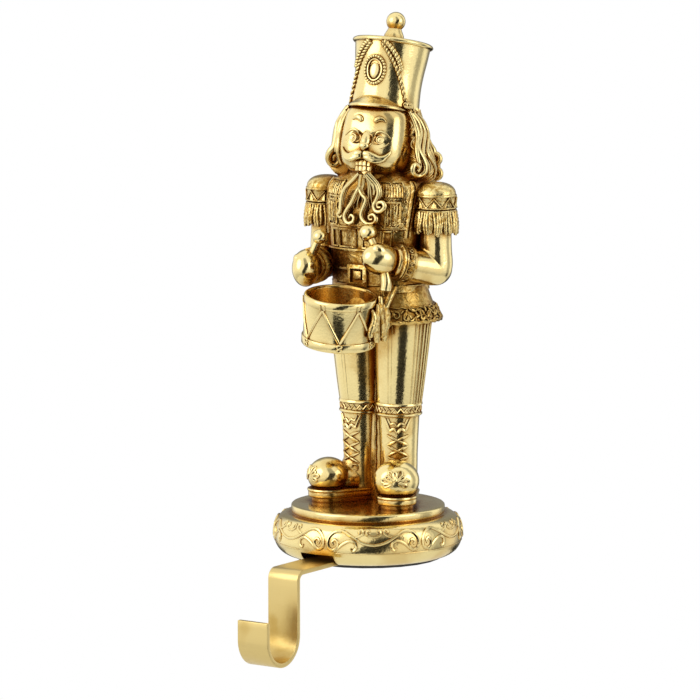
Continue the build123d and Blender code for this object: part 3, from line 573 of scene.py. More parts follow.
for step in range(46):
    turn = 7.8 * step + rng.uniform(-2, 2)
    low = rng.uniform(101.9, 105.2)
    spin = rng.choice((-1, 1))
    sizes = [rng.uniform(1.2, 1.9) * (1 - 0.09 * point) for point in range(8)]
    curl = [skirt_point(turn + 2.6 * aside, low + 1.2 + up, 0.7) for aside, up in winding(sizes, 0.9 * spin, step)]
    lines.append((curl, 2, (0.45, 0.42, 0.25)))
settle([moved(skirt, (0, SETBACK, 0))] + spread(leaf, places) + [wires(lines, 1)], "flared_skirt", darker_gold, 40)

belt = drawn([(20.8, 16.8, 116.4), (*BELT, 116.6), (*BELT, 123.6), (20.8, 16.8, 123.9)], 96)
collar = turned([(13.4, 159.5), (13.8, 161.0), (13.4, 163.0), (12.7, 164.6), (11.6, 165.2)], 64)
front = SETBACK - BELT[1]
buckle = block((10.0, 2.4, 9.4), (0.0, front - 0.2, BUCKLE_LEVEL), 0.5)
cut(buckle, block((6.4, 3.0, 5.8), (0.0, front - 1.6, BUCKLE_LEVEL)))
parts = [body, moved(belt, (0, SETBACK, 0)), moved(collar, (0, SETBACK - 0.5, 0)), buckle,
         block((4.2, 1.2, 4.0), (0.0, front - 0.5, BUCKLE_LEVEL), 0.5)]

lines = [([polar(spot, level, *BELT, SETBACK) for spot in around(72)], 1, 0.5, True) for level in (116.9, 123.3)]
for side, opening in ((-1, 4), (1, 13)):
    for low_turn, thick in ((57, 0.75), (63.5, 0.6)):
        strap = [on_coat(side * (low_turn + opening * share ** 1.2), 137.0 + 23.5 * share, 0.3) for share in shares(12)]
        lines.append((strap, 1, thick))


def frame_line(low_turn, high_turn, low, high, thick):
    """The raised border of a panel on the coat."""
    border = []
    corners = ((low_turn, low), (high_turn, low), (high_turn, high), (low_turn, high), (low_turn, low))
    for (turn, level), (next_turn, next_level) in zip(corners, corners[1:]):
        for share in shares(9)[:-1]:
            border.append(on_coat(turn + (next_turn - turn) * share, level + (next_level - level) * share, 0.3))
    return border, 1, thick, True


for side in (-1, 1):
    lines.append(frame_line(side * 20, side * 53, 153.6, 160.4, 0.5))
    lines.append(frame_line(side * 27, side * 48, 141.4, 152.0, 0.5))
    for turn in (31, 35, 39, 43):
        rib = [on_coat(side * turn + rng.uniform(-0.8, 0.8), level, 0.3) for level in range(143, 152, 2)]
        lines.append((rib, 2, (0.3, 0.6, 0.4)))
    for turn in range(23, 52, 4):
        lines.append(([on_coat(side * turn, level, 0.2) for level in (154.4, 156, 157.6, 159.6)], 1, (0.5, 0.3)))
for low_turn, high_turn in ((-22, -2), (2, 22), (-36, -25), (25, 36)):
    lines.append(frame_line(low_turn, high_turn, 132.4, 139.8, 0.55))
lines.append(([on_coat(turn, 131.2, 0.3) for turn in range(-90, 91, 5)], 1, 0.7))
lines.append(([on_coat(turn, 140.8, 0.2) for turn in range(-56, 57, 4)], 1, 0.5))
for step in range(150):
    turn = rng.choice((-1, 1)) * rng.uniform(16, 58)
    level = rng.uniform(140.5, 159.5)
    spin = rng.choice((-1, 1))
    size = rng.uniform(0.5, 1.2)
    curl = winding([size * (1 - 0.1 * point) for point in range(7)], 0.9 * spin, spin * step)
    lines.append(([on_coat(turn + 3.0 * aside, level + up, 0.25) for aside, up in curl], 2, 0.3))
settle(parts + [wires(lines, 1)], "belted_coat", embossed, 40)

# Arms, hands and drumsticks.
# Cast with the coat: a round sleeve bent at the elbow and a mitten hand with a stick in it on each side.
# The sleeves and hands are polished smooth.

SHOULDER_SPACING = 55.5
SHOULDER_JOINT = 155.4
ELBOW_LEVEL = 123.6
HANDS = {-1: Vector((-20.0, -17.0, 123.6)), 1: Vector((16.0, -14.0, 129.3))}
UP = Vector((0, 0, 1))


def arm(side):
    """An arm's shoulder, elbow and hand, and the way its forearm points."""
    shoulder, elbow = (Vector((side * SHOULDER_SPACING / 2, SETBACK, level)) for level in (SHOULDER_JOINT, ELBOW_LEVEL))
    return shoulder, elbow, HANDS[side], (HANDS[side] - elbow).normalized()


arm_parts = []
for side, stick, knob, tail, palm_size in (
    (-1, Vector((6.5, 0.6, 13.6)), 3.2, Vector((-1.0, 0.0, -4.0)), (5.8, 8.0, 7.6)),
    (1, Vector((-7.2, 1.0, 10.6)), 3.8, Vector((2.6, -0.8, -12.6)), (6.2, 6.7, 8.6)),
):
    shoulder, elbow, hand, ahead = arm(side)
    wrist = hand - ahead * 5.4
    path = [shoulder, shoulder.lerp(elbow, 0.35), shoulder.lerp(elbow, 0.72), elbow + Vector((0, -0.4, 0.8)),
            elbow + ahead * 6.5, wrist - ahead * 3.0, wrist]
    sleeve = wires([(path, 8, (6.5, 6.7, 7.2, 6.9, 6.1))], 10)
    bend = ball(elbow + Vector((0, -0.2, 0.4)), (7.2, 7.2, 7.3))
    palm = ball(hand + ahead * 0.4, palm_size, ahead, 40, 28)
    across = ahead.cross(UP).normalized() * side
    thumb = ball(hand + ahead * 1.8 - across * 2.6 + UP * 3.6, (2.4, 2.5, 4.0), ahead + UP * 0.4)
    grip = [hand + stick, hand + stick * 0.5, hand, hand + (tail - stick * 0.4) * 0.5, hand + tail]
    arm_parts += [melted([sleeve, bend], 0.45, 8), melted([palm, thumb], 0.35, 10),
                  wires([(grip, 6, (1.7, 1.8, 2.0, 2.3, 2.4))], 6),
                  ball(hand + stick, (knob, knob, knob), segments=36, rings=24)]
settle(arm_parts, "arms_and_sticks", gold, 45)

# Epaulettes and cuffs.
# On each shoulder a smooth domed cap, a band of triangles between two lines and a fringe of knotted tassels,
# and round each wrist a cuff with scrolled lace between double rings, all cast with the arm.

CUFF = ((5.6, -6.6), (7.2, -6.5), (7.7, -6.2), (7.8, -5.7), (7.3, -5.3), (7.2, -5.0), (7.2, -2.3), (7.4, -2.1),
        (7.8, -1.8), (7.8, -1.3), (7.4, -1.1), (7.4, -0.9), (7.8, -0.7), (7.8, -0.2), (7.3, 0.1), (5.4, 0.3))
CAP = ((7.0, -4.2), (8.4, -1.2), (8.6, 0.2), (8.3, 1.7), (7.3, 3.1), (5.7, 4.2), (3.6, 4.9), (0.8, 5.2))
BAND = ((7.6, -7.4), (8.6, -7.3), (8.9, -6.9), (8.9, -6.4), (8.5, -6.1), (8.4, -5.8), (8.4, -1.3), (8.6, -1.0),
        (8.9, -0.7), (8.9, -0.2), (8.6, 0.1), (7.9, 0.3))
UNDER_FRINGE = ((6.8, -16.0), (7.8, -15.4), (8.0, -10.0), (7.6, -6.8))

cap_parts = []
lace_parts = []
for side in (-1, 1):
    shoulder, _, hand, ahead = arm(side)
    cuff_at = Matrix.Translation(hand - ahead * 7.2) @ aimed(ahead)
    lines = []
    for step, spot in enumerate(around(14, 3.5)):
        curl = winding([1.3 * (1 - 0.1 * point) for point in range(8)], 0.95, step)
        lines.append(([polar(spot + aside / 7.2, -3.7 + up, 7.3) for aside, up in curl], 2, 0.33))
    lace_parts.append(moved(bundle([turned(CUFF, 56), wires(lines)]), cuff_at))

    saddle = ball(Vector((-side * 6.0, 1.2, -1.8)), (8.6, 7.2, 6.4))
    cap_parts.append(melted([moved(piece, shoulder) for piece in (turned(CAP, 56), saddle)], 0.5, 10))
    teeth = [polar(spot, -1.3 if step % 2 else -5.3, 8.75) for step, spot in enumerate(around(16, 4.25))]
    lines = [([polar(spot, -5.5, 8.85) for spot in around(60, 15)], 1, 0.3, True), (teeth, 1, 0.42, True)]
    wedge = moved(drawn([(1.5, 0.55, -1.5), (0.12, 0.3, 1.3)], 4), (0, 8.5, -3.9))
    parts = spread(wedge, [Matrix.Rotation(spot, 4, "Z") for spot in around(8, -1.375)])
    tassel_rng = random.Random(5)
    for strand, spot in enumerate(around(36, 9)):
        middle = strand % 3 == 1
        length = 9.0 + 0.8 * middle + tassel_rng.uniform(-0.5, 0.5)
        tassel = []
        for step, share in enumerate(shares(15)):
            radius = 7.9 + 0.75 * sin(share * pi * 0.6) + 0.3 * middle + 0.22 * (step % 2)
            drift = 0.03 * sin(5 * share + strand) + (strand % 3 - 1) * -0.05 * share
            tassel.append(polar(spot + drift, -6.8 - length * share, radius))
        lines.append((tassel, 1, (0.72, 0.9, 0.95, 0.7)))
    parts += [turned(BAND, 64), turned(UNDER_FRINGE, 40), wires(lines)]
    lace_parts.append(moved(bundle(parts), shoulder))
settle(cap_parts, "shoulder_caps", embossed, 45)
settle(lace_parts, "fringes_and_cuffs", embossed, 45)

# Drum.
# An open-topped drum cast in front of the skirt: thin wall, two hoops, zigzag cords and small knots where they meet.
# Folds of its sling fall beside it on the figure's left.

DRUM_FRONT = SETBACK - 31.2
DRUM_LEVEL = 103.8
CORDS = 12
CORD_TURN = radians(35)
SHELL = ((14.6, -10.75), (15.3, -10.6), (15.6, -10.2), (15.65, -7.2), (15.45, -6.9), (15.05, -6.75), (15.0, -6.4),
         (15.0, 7.4), (15.05, 7.6), (15.4, 7.75), (15.5, 8.0), (15.5, 10.0), (15.3, 10.5), (15.0, 10.75), (14.3, 10.75),
         (13.9, 10.4), (13.7, 9.6), (13.6, -2.4), (13.3, -2.9), (12.6, -3.2), (6.0, -3.25))

lines = []
for leg, spot in enumerate(around(CORDS)):
    turn = CORD_TURN + spot
    low, rise = (-6.6, 13.8) if leg % 2 == 0 else (7.2, -13.8)
    lines.append(([polar(turn + 2 * pi * share / CORDS, low + rise * share, 15.1) for share in shares(9)], 1, 0.62))
    if leg % 2 == 0:
        for level, size in ((-7.6, 1.0), (-9.2, 0.9)):
            knot = [polar(turn + size * cos(a) / 15.6, level + 0.7 * size * sin(a), 15.7) for a in around(8)]
            lines.append((knot, 1, 0.42, True))
    else:
        for shift in (-0.06, 0.06):
            lines.append(([polar(turn + shift, level, 15.6) for level in (7.4, 8.4, 9.4)], 1, 0.35))
drum = moved(bundle([turned(SHELL, 96), wires(lines)]), spun(6, "X") @ spun(7.5, "Y"))
settle([moved(drum, (0, DRUM_FRONT, DRUM_LEVEL))], "open_drum", gold, 40)

lines = [(((17.6, -5.6, 117.5), (17.0, -8.0, 114.0), (16.2, -10.2, 110.0), (15.2, -11.6, 104.0)), 5,
          (1.3, 1.6, 1.6, 1.2))]
FOLDS = ((91, 109.0, 97.0, 15.9, 1.5), (103, 111.0, 94.5, 16.2, 1.7), (116, 114.0, 96.0, 17.0, 1.8),
         (130, 116.0, 94.0, 18.2, 1.7))
for number, (turn, high, low, reach, thick) in enumerate(FOLDS):
    fold = []
    for share in shares(7):
        spot = radians(turn) + 0.05 * sin(5 * share + 2 * number)
        out = reach + 0.5 * sin(pi * share) + 0.4 * sin(6 * share + number)
        fold.append(polar(spot, high + (low - high) * share, out, back=DRUM_FRONT))
    lines.append((fold, 4, (0.5 * thick, thick, 1.2 * thick, 0.8 * thick)))
sling = melted([wires(lines, 4), ball((14.9, -13.6, 103.4), (1.4, 5.6, 7.6), (0.05, 0.1, 1))], 0.45, 5)
settle([sling], "drum_sling", embossed, 40)

# Head and face.
# A doll's head cast with the body: a squarish egg with shallow eye sockets, ringed eyes under lids, short arched
# brows, a narrow nose and a two-winged moustache over squared teeth. It leans back and turns to the figure's left.

HEAD_PLACE = (0, SETBACK, 176.6)
HEAD_LEAN = -13
FACE_TURN = 13
FACE_BACK = -3.4
SKULL = ((-16.6, 2.5), (-15.9, 6.2), (-14.5, 9.8), (-12.6, 12.2), (-10.5, 13.5), (-8.0, 14.2), (-5.0, 14.5),
         (-2.0, 14.5), (2.0, 14.3), (6.0, 14.0), (9.0, 13.6), (11.0, 12.9), (13.0, 11.0), (15.0, 8.6))
FLATNESS = 2.8
EYE_LEVEL = -1.7
LIDS = (
    ((0.25, 0.5, 0.6, 0.5, 0.25),
     ((3.5, -0.1, -0.6), (4.6, 1.4, -0.1), (6.3, 1.9, 0.0), (8.2, 1.1, 0.0), (10.2, -0.7, 0.0))),
    ((0.2, 0.35, 0.38, 0.2),
     ((4.6, -4.9, -0.5), (5.6, -5.2, -0.4), (6.8, -5.1, -0.3), (8.2, -4.3, -0.2), (9.8, -2.5, -0.1))),
)
BROW = ((0.8, 1.35, 1.3, 0.9, 0.3),
        ((2.9, 5.4, 0.1), (3.6, 6.6, 0.1), (4.8, 7.2, 0.1), (6.3, 6.9, 0.1), (7.7, 5.9, 0.1)))
MOUSTACHE = (
    ((1.2, 1.6, 1.6, 1.2, 0.8, 0.3), ((0.3, -8.2, 1.9), (2.2, -8.3, 2.0), (4.4, -9.1, 1.5), (6.6, -9.6, 1.1),
                                      (8.8, -8.9, 0.8), (10.4, -7.1, 0.5), (10.9, -5.6, 0.3))),
    ((1.0, 1.35, 1.3, 0.9, 0.4), ((0.7, -9.4, 2.0), (2.4, -9.8, 2.4), (4.4, -10.6, 2.4), (6.4, -10.8, 2.2),
                                  (8.4, -10.2, 1.6), (9.9, -8.6, 0.8))),
)


def head_at(turn):
    """The head's place, leaning back and turned by some degrees."""
    return Matrix.Translation(HEAD_PLACE) @ spun(HEAD_LEAN, "X") @ spun(turn)


def on_face(across, level, out=0.0):
    """A point on the front of the head from its place across the face and its level."""
    radius = in_rows(SKULL, level)
    share = min(abs(across) / radius, 1.0)
    return Vector((across, FACE_BACK - radius * (1 - share ** FLATNESS) ** (1 / FLATNESS) - out, level))


def face_line(side, steps, thick, row):
    """A raised line through (across, level, out) places on one side of the face."""
    return [on_face(across * side, level, out) for across, level, out in row], steps, thick


skull = turned([(radius, level) for level, radius in SKULL], 72)
for vertex in skull.data.vertices:
    if vertex.co.y < 0:
        spot = atan2(vertex.co.x, -vertex.co.y)
        fuller = (abs(sin(spot)) ** FLATNESS + abs(cos(spot)) ** FLATNESS) ** (-1 / FLATNESS)
        vertex.co.x *= fuller
        vertex.co.y *= fuller
skull = melted([moved(skull, (0, FACE_BACK, 0))], 0.4, 20)
for side in (-1, 1):
    cut(skull, ball(on_face(4.9 * side, -1.2, 3.4), (5.0, 4.2, 4.9), (0, 1, 0), 40, 24))
jaw = ball((2.0, -3.0, -5.0), (13.7, 12.9, 12.0), segments=40, rings=28)
nose = ball(on_face(0, -2.6, -0.1), (2.3, 2.3, 5.0), (0, -0.34, -1))
nose_tip = ball(on_face(0, -4.9, 1.2), (2.3, 1.8, 1.7))
eyeballs = [ball(on_face(6.0 * side, EYE_LEVEL, -2.3), (3.5, 2.6, 2.3), (0, 1, 0)) for side in (-1, 1)]
parts = [melted([skull, jaw, nose, nose_tip] + eyeballs, 0.26, 11)]
lines = []
wings = []
for side in (-1, 1):
    eye = on_face(6.1 * side, EYE_LEVEL, -0.1)
    parts.append(ball(eye + Vector((0, 0.45, 0)), (0.55, 0.6, 0.8), (0, 1, 0), 20, 14))
    iris = [eye + Vector((1.5 * cos(spot), 0.15 + 0.225 * side * cos(spot), 1.6 * sin(spot))) for spot in around(24)]
    lines += [(iris, 1, 0.3, True)] + [face_line(side, 5, *lid) for lid in LIDS]
    wings += [face_line(side, 5, *BROW)] + [face_line(side, 6, *wing) for wing in MOUSTACHE]
parts += [melted([wires(wings, 5)], 0.28, 5), wires(lines, 3)]
for column in range(4):
    for row in range(2):
        across = (column - 1.5) * 1.68
        tooth = moved(block((1.56, 1.6, 2.2), (0, 0, 0), 0.12), spun(-4 * across))
        parts.append(moved(tooth, (across, -17.3 + 0.04 * across * across + 0.6 * row, -12.0 - 2.35 * row)))
parts.append(block((7.0, 5.0, 5.4), (0, -14.5, -13.0), 0.7))
settle([moved(bundle(parts), head_at(FACE_TURN))], "doll_face", gold, 50)

# Hair and beard.
# Long wavy locks cast with the head, falling from under the hat to the shoulders and curling up at their ends,
# and a beard of wavy strands that end in curls on the chest.

HAIR = ((-19.0, 14.0, 4.0), (-16.5, 18.2, 5.0), (-14.0, 21.4, 5.0), (-12.0, 22.4, 5.0), (-9.0, 22.4, 5.0),
        (-6.0, 21.8, 5.0), (-3.0, 20.6, 4.8), (0.5, 19.0, 4.0), (6.0, 17.4, 3.0), (12.0, 15.0, 1.5), (15.0, 14.0, 1.0))
LOCK_PITCH = 12.0
CROWN_TURN = 8
VIEW_COS, VIEW_SIN = 0.8285, 0.56


def hair_point(turn, level, out=0.0, dip=12.0):
    """A point on the hair in the head's own place, sunk by the dip where the face is."""
    turn = (turn + 180) % 360 - 180
    share = min(max((abs(turn) - (55 if turn > 0 else 62)) / 10, 0), 1)
    radius = in_rows(HAIR, level) + out - dip * (1 - share * share * (3 - 2 * share))
    return polar(radians(turn), level, radius, back=in_rows(HAIR, level, 2))


def lock_wave(turn, level):
    """How far a lock's ridge is shifted round the head at a level."""
    turn = (turn + 180) % 360 - 180
    return (1 if turn > 0 else -1) * min(1, (180 - abs(turn)) / 30) * 7.5 * cos(2 * pi * (level - 7) / 17)


bell = turned([(1.0, -18.0 + 33.0 * share) for share in shares(45)], 300)
for vertex in bell.data.vertices:
    level = vertex.co.z
    turn = degrees(atan2(vertex.co.x, -vertex.co.y))
    ridge = turn - lock_wave(turn, level)
    crest = abs(cos(pi * ridge / LOCK_PITCH)) ** 0.75 + 0.22 * abs(cos(3 * pi * ridge / LOCK_PITCH))
    vertex.co = hair_point(turn, level, 1.6 * crest - 1.3)
lines = []
for thick, lock in (
    ((0.9, 1.4, 1.35, 1.2, 0.8),
     ((68, 11.8), (77, 8.9), (77.7, 4.7), (72, 1.0), (67, -1.8), (67, -4.1), (71.5, -6.6), (75.3, -9.3), (75.5, -12.2),
      (69.7, -14.1), (61.5, -13.6), (58.5, -11.2), (61.4, -9.7), (66.8, -10.6), (65.5, -12.4))),
    ((0.7, 1.1, 1.1, 0.7),
     ((81, 12.4), (98, 10), (103, 6.5), (98, 3.3), (87, -0.6), (81, -4.1), (88, -6.6), (97, -9.5), (100, -13))),
    ((0.8, 1.3, 1.3, 0.8), ((64, 12.4), (69, 8.6), (71, 4.4), (70, 1.6), (66, -1.5), (64, -5), (66, -9))),
    ((0.7, 1.2, 1.2, 0.8),
     ((73, 12.4), (85, 9.4), (88, 5.4), (82, 1.6), (75, -2.0), (72, -5.6), (80, -9), (84, -12.5))),
    ((0.7, 1.1, 1.1, 0.6), ((-66, 12.0), (-72, 8), (-70, 3), (-65, -1.6), (-62, -5.1), (-64, -9))),
):
    lines.append(([hair_point(turn, level, 0.7, 0.0) for turn, level in lock], 5, thick))
strand_rng = random.Random(3)
for lock in range(20):
    base_turn = 60 + LOCK_PITCH * lock
    for shift in (-2.6, 0.4, 3.0):
        strand = []
        for share in shares(14):
            level = 13.5 - 29.0 * share
            turn = base_turn + shift + lock_wave(base_turn, level) + strand_rng.uniform(-0.4, 0.4)
            strand.append(hair_point(turn, level, 0.35))
        lines.append((strand, 2, (0.3, 0.45, 0.45, 0.3)))
for turn, level in ((110, -5.0), (116, -11.0), (138, -11.5), (160, -12), (180, -11.5), (200, -12), (222, -11.5),
                    (244, -11), (264, -10.5)):
    centre = hair_point(turn, level, 0.4)
    away = polar(radians(turn), 0, 1)
    curl = winding([2.3 * (1 - 0.78 * share) for share in shares(19)], -2.6 * pi / 18, 2.2)
    curl = [centre + away * aside + UP * up for up, aside in curl]
    tail = [hair_point(turn, level + rise, out) for rise, out in ((9.0, 0.2), (6.0, 0.5), (3.4, 0.9))]
    lines += [(curl, 1, (1.5, 1.35, 0.9)), (tail + curl[:1], 4, (0.6, 1.3, 1.5))]
neck = ball((0, 1.5, -14.5), (11.5, 11.5, 7.0))
parts = [moved(bundle([bell, wires(lines, 3), neck]), head_at(CROWN_TURN))]

lines = []
for depth, thick, lock in (
    (-8.6, (0.9, 1.5, 1.5, 1.3, 0.9),
     ((-8.0, 191.2), (-10.9, 187.2), (-12.7, 183.4), (-13.3, 178.8), (-14.2, 174.2), (-15.9, 172.0), (-16.8, 169.3),
      (-15.8, 166.7), (-13.6, 166.1), (-12.2, 167.8), (-12.9, 170.2), (-14.4, 169.9), (-14.4, 168.4))),
    (-6.2, (0.9, 1.5, 1.6, 1.2),
     ((-7.4, 190.2), (-9.8, 185.8), (-11.4, 180.8), (-12.1, 176.2), (-12.2, 172.2), (-11.7, 169.4), (-11.0, 167.0))),
    (-7.4, (0.9, 1.5, 1.6, 1.0), ((-8.9, 189.4), (-11.2, 184.6), (-12.2, 179.2), (-12.9, 174.6), (-13.6, 172.0))),
    (-11.0, (1.0, 1.8, 1.9, 1.4),
     ((-8.6, 190.6), (-11.4, 185.4), (-12.9, 180.4), (-13.6, 175.2), (-14.0, 170.2), (-12.6, 167.0))),
    (-13.6, (1.0, 1.9, 2.0, 1.6),
     ((-8.4, 190.0), (-10.6, 185.4), (-12.0, 180.4), (-12.6, 175.2), (-12.8, 170.4), (-11.4, 167.4))),
    (-16.2, (1.0, 1.9, 2.0, 1.6),
     ((-7.6, 189.6), (-9.6, 185.0), (-10.8, 180.4), (-11.2, 175.2), (-11.2, 170.6), (-10.0, 167.6))),
):
    points = []
    for across, level in lock:
        back = depth + 1.5 * sin(0.37 * level)
        points.append((VIEW_COS * across + VIEW_SIN * back, VIEW_SIN * across - VIEW_COS * back, level))
    lines.append((points, 5, thick))
parts.append(wires(lines, 4))

BEARD = (
    ((3.2, 164.6), (-1.1, 161.2), (-5.5, 157.6), (-7.3, 154.1), (-7.9, 150.6), (-8.1, 147.7), (-9.3, 146.1),
     (-8.4, 145.0), (-7.4, 145.8)),
    ((4.1, 164.4), (2.4, 160.0), (0.0, 156.0), (-2.3, 151.9), (-4.9, 148.4), (-6.1, 145.4), (-4.6, 142.8),
     (-2.0, 143.4), (-1.4, 145.4), (-2.9, 146.3), (-3.8, 145.0)),
    ((4.1, 164.4), (1.8, 158.5), (2.6, 155.6), (4.7, 153.3), (3.5, 149.9), (2.4, 146.9), (3.2, 144.5), (5.8, 143.0),
     (9.0, 143.6), (9.9, 145.6), (8.5, 147.2), (6.4, 146.4), (6.7, 145.0), (8.1, 145.2)),
    ((6.0, 164.6), (7.9, 161.3), (9.3, 158.4), (8.7, 155.5)),
    ((7.0, 164.6), (10.0, 160.4), (11.2, 156.6), (9.9, 153.2), (8.7, 151.1), (9.6, 148.8), (12.2, 148.7),
     (14.2, 150.8), (13.1, 152.6), (10.8, 152.2), (10.6, 150.5), (12.2, 150.5)),
)
lines = []
for strand in BEARD:
    points = []
    for index, (across, level) in enumerate(strand):
        depth = -9.4 + 0.7 * min(index, 3) / 3 - 0.45 * max(level - 160, 0)
        points.append(Vector((across, depth, level)))
    beside = [point + Vector((0.9, 0.5, 0)) for point in points[:6]]
    lines += [(points, 6, (0.8, 1.0, 1.0, 0.5)), (beside, 6, (0.5, 0.55, 0.3))]
for root, low, sway in ((3.6, -5.0, 0.5), (4.2, -2.4, 0.5), (4.5, -0.4, 0.6), (4.8, 1.0, -0.6), (5.6, 6.4, 0.5),
                        (6.2, 8.0, 0.4)):
    thread = []
    for share in shares(9):
        across = root + (low - root) * share + sway * sin(6 * share)
        thread.append((across, -10.4 + 3.0 * share ** 0.6, 164.0 - 15.0 * share))
    lines.append((thread, 3, (0.7, 0.6, 0.2)))
settle(parts + [wires(lines, 3), ball((4.8, -9.0, 164.0), (2.8, 2.0, 2.2))], "hair_and_beard", gold, 50)

# Hat.
# A tall hat cast with the head: hollowed sides that flare to a rolled rim, a knob on a short neck, a sloping visor,
# an oval medallion in a ring of beads, and twisted cords hung from the top.

HAT_SEAT = 14.0
HAT_HEIGHT = 28.4
HAT_WALL = 26.2
KNOB_RADIUS = 4.1
BADGE_LEVEL = 0.49


def hat_radius(level):
    share = level / HAT_WALL
    return 14.5 - 0.35 * sin(min(share, 0.8) / 0.8 * pi) + 1.5 * max(0.0, share - 0.25) ** 1.6 / 0.75 ** 1.6


def on_hat(turn, share, out=0.0):
    return polar(radians(turn), share * HAT_HEIGHT, hat_radius(share * HAT_HEIGHT) + out)


def on_badge(count, wide, high, out):
    """An oval of places round the badge."""
    return [on_hat(degrees(wide * cos(spot) / 14.3), BADGE_LEVEL + high * sin(spot) / HAT_HEIGHT, out)
            for spot in around(count)]


outline = [(13.6, -0.6)] + [(hat_radius(HAT_WALL * share), HAT_WALL * share) for share in shares(14)]
outline += [(16.6, 26.35), (17.1, 26.8), (17.2, 27.3), (16.9, 27.9), (16.2, 28.3), (14.0, 28.5), (9.0, 28.9),
            (5.2, 29.4), (4.4, 29.8), (4.1, 31.0), (3.6, 32.0), (3.2, 32.8), (2.9, 33.5)]
for share in shares(12):
    turn = radians(-48 + 136 * share)
    outline.append((max(KNOB_RADIUS * cos(turn), 0.25), 36.8 + KNOB_RADIUS * sin(turn)))
slope = [(9.6, -1.9), (12.0, -2.1), (12.6, -1.8), (12.75, -1.3), (12.5, -0.8), (12.0, -0.4), (10.6, 1.0), (9.3, 2.3),
         (8.0, 3.4)]
visor = moved(moved(turned(slope, 112), spun(4)), (0, -6.1, 0))
bead = ball((0, 0, 0), (0.78, 0.78, 0.78), segments=12, rings=8)
badge = ball(on_hat(0, BADGE_LEVEL) + Vector((0, 0.4, 0)), (2.6, 4.0, 1.2), (0, 1, 0), 32, 20)
parts = [turned(outline, 112), visor, badge] + spread(bead, on_badge(26, 4.4, 5.8, 0.4))
lines = [(on_badge(40, 3.1, 4.5, 0.5), 1, 0.45, True)]


def rope(points, wide, thick, pitch):
    """Two strands wound round each other along a path."""
    made = []
    for phase in (0, pi):
        row = []
        for index, point in enumerate(points):
            ahead = (points[min(index + 1, len(points) - 1)] - points[max(index - 1, 0)]).normalized()
            out = Vector((point.x, point.y, 0)).normalized()
            sideways = ahead.cross(out).normalized()
            spot = pitch * index + phase
            row.append(point + out * wide * cos(spot) + sideways * wide * sin(spot))
        made.append((row, 1, thick))
    return made


SWAG = ((9, 0.90), (15, 0.83), (22, 0.74), (30, 0.64), (38, 0.52), (46, 0.38), (53, 0.24), (60, 0.08))
BRAID = ((11, 0.93), (19, 0.88), (27, 0.80), (35, 0.70), (41, 0.60), (44, 0.53))
for side in (-1, 1):
    lines += rope(flowing([on_hat(side * turn, share, 0.2) for turn, share in SWAG], 9), 0.5, 0.5, 0.75)
    lines += rope(flowing([on_hat(side * turn, share, 0.25) for turn, share in BRAID], 8), 0.7, 0.62, 0.9)
    for middle in (62, 65, 68):
        lobe = [on_hat(side * (middle + 5.5 * cos(spot)), 0.03 + 0.035 * sin(spot), 0.5) for spot in LOOP]
        lines.append((lobe, 2, 0.5))
hat = moved(bundle(parts + [wires(lines)]), (0, 0, HAT_SEAT))
settle([moved(hat, head_at(CROWN_TURN))], "corded_hat", gold, 45)

# Hook strip.
# A flat steel strip, plated in satin gold, that is screwed under the base, leaves its front slot,
# turns down over the mantel's edge and ends in an open J for the stocking's loop.

STRIP_WIDTH = 15.0
STRIP_THICK = 2.0
STRIP_TAIL = 16.0
STRIP_LEVEL = 2.4
STRIP_RUN = 75.2
BEND_RADIUS = 3.4
DROP = 22.5
HOOK_RADIUS = 11.0
LIP = 8.4
# Satin gold with its grain along the strip; its bends and screw holes take painted shade from metal().
satin = metal("satin_gold_plating", (0.73, 0.56, 0.225), (0.50, 0.31, 0.06), (0.26, 0.13, 0.02), 0.33, 0.012, 0.0,
              (1, 1, 0.12))

bend_at = STRIP_TAIL - STRIP_RUN
bend_level = STRIP_LEVEL - BEND_RADIUS
drop_at = bend_at - BEND_RADIUS
hook_level = bend_level - DROP
path = [(STRIP_TAIL - STRIP_RUN * share, STRIP_LEVEL) for share in shares(9)]
for share in shares(9)[1:]:
    path.append((bend_at - BEND_RADIUS * sin(pi / 2 * share), bend_level + BEND_RADIUS * cos(pi / 2 * share)))
path += [(drop_at, bend_level - DROP * share) for share in shares(6)[1:]]
for share in shares(25)[1:]:
    path.append((drop_at - HOOK_RADIUS * (1 - cos(pi * share)), hook_level - HOOK_RADIUS * sin(pi * share)))
path += [(drop_at - 2 * HOOK_RADIUS, hook_level + LIP * share) for share in shares(4)[1:]]
corners = []
faces = [(0, 1, 2, 3), tuple(4 * len(path) - 1 - corner for corner in range(4))]
for index, (reach, level) in enumerate(path):
    back, ahead = path[max(index - 1, 0)], path[min(index + 1, len(path) - 1)]
    run = Vector((0, ahead[0] - back[0], ahead[1] - back[1])).normalized()
    for across, lift in ((-0.5, -0.5), (0.5, -0.5), (0.5, 0.5), (-0.5, 0.5)):
        rise = lift * STRIP_THICK
        corners.append((across * STRIP_WIDTH, reach - run.z * rise, level + run.y * rise))
    if index:
        for edge in range(4):
            a, b = 4 * index - 4 + edge, 4 * index - 4 + (edge + 1) % 4
            faces.append((a, b, b + 4, a + 4))
mesh = bpy.data.meshes.new("strip")
mesh.from_pydata(corners, [], faces)
strip = bpy.data.objects.new("strip", mesh)
bpy.context.collection.objects.link(strip)
pick(strip)
editing()
outward()
worked(strip, "BEVEL", width=0.3, segments=3, limit_method="ANGLE", angle_limit=radians(50))
for place in SCREW_PLACES:
    sink = turned([(3.0, -0.01), (SCREW_RADIUS, 1.6), (SCREW_RADIUS, 2.6)], 24)
    cut(strip, moved(sink, (0, place, UNDERSIDE)))
settle([strip], "satin_hook_strip", satin, 30, "hook_strip")

# Screws and pad.
# Two zinc-plated countersunk screws and a thin glued rubber disc, all under the base.
# They keep the shapes of the frame and take a dull zinc, darkened by painted shade in its recesses, and a matt grained
# rubber.

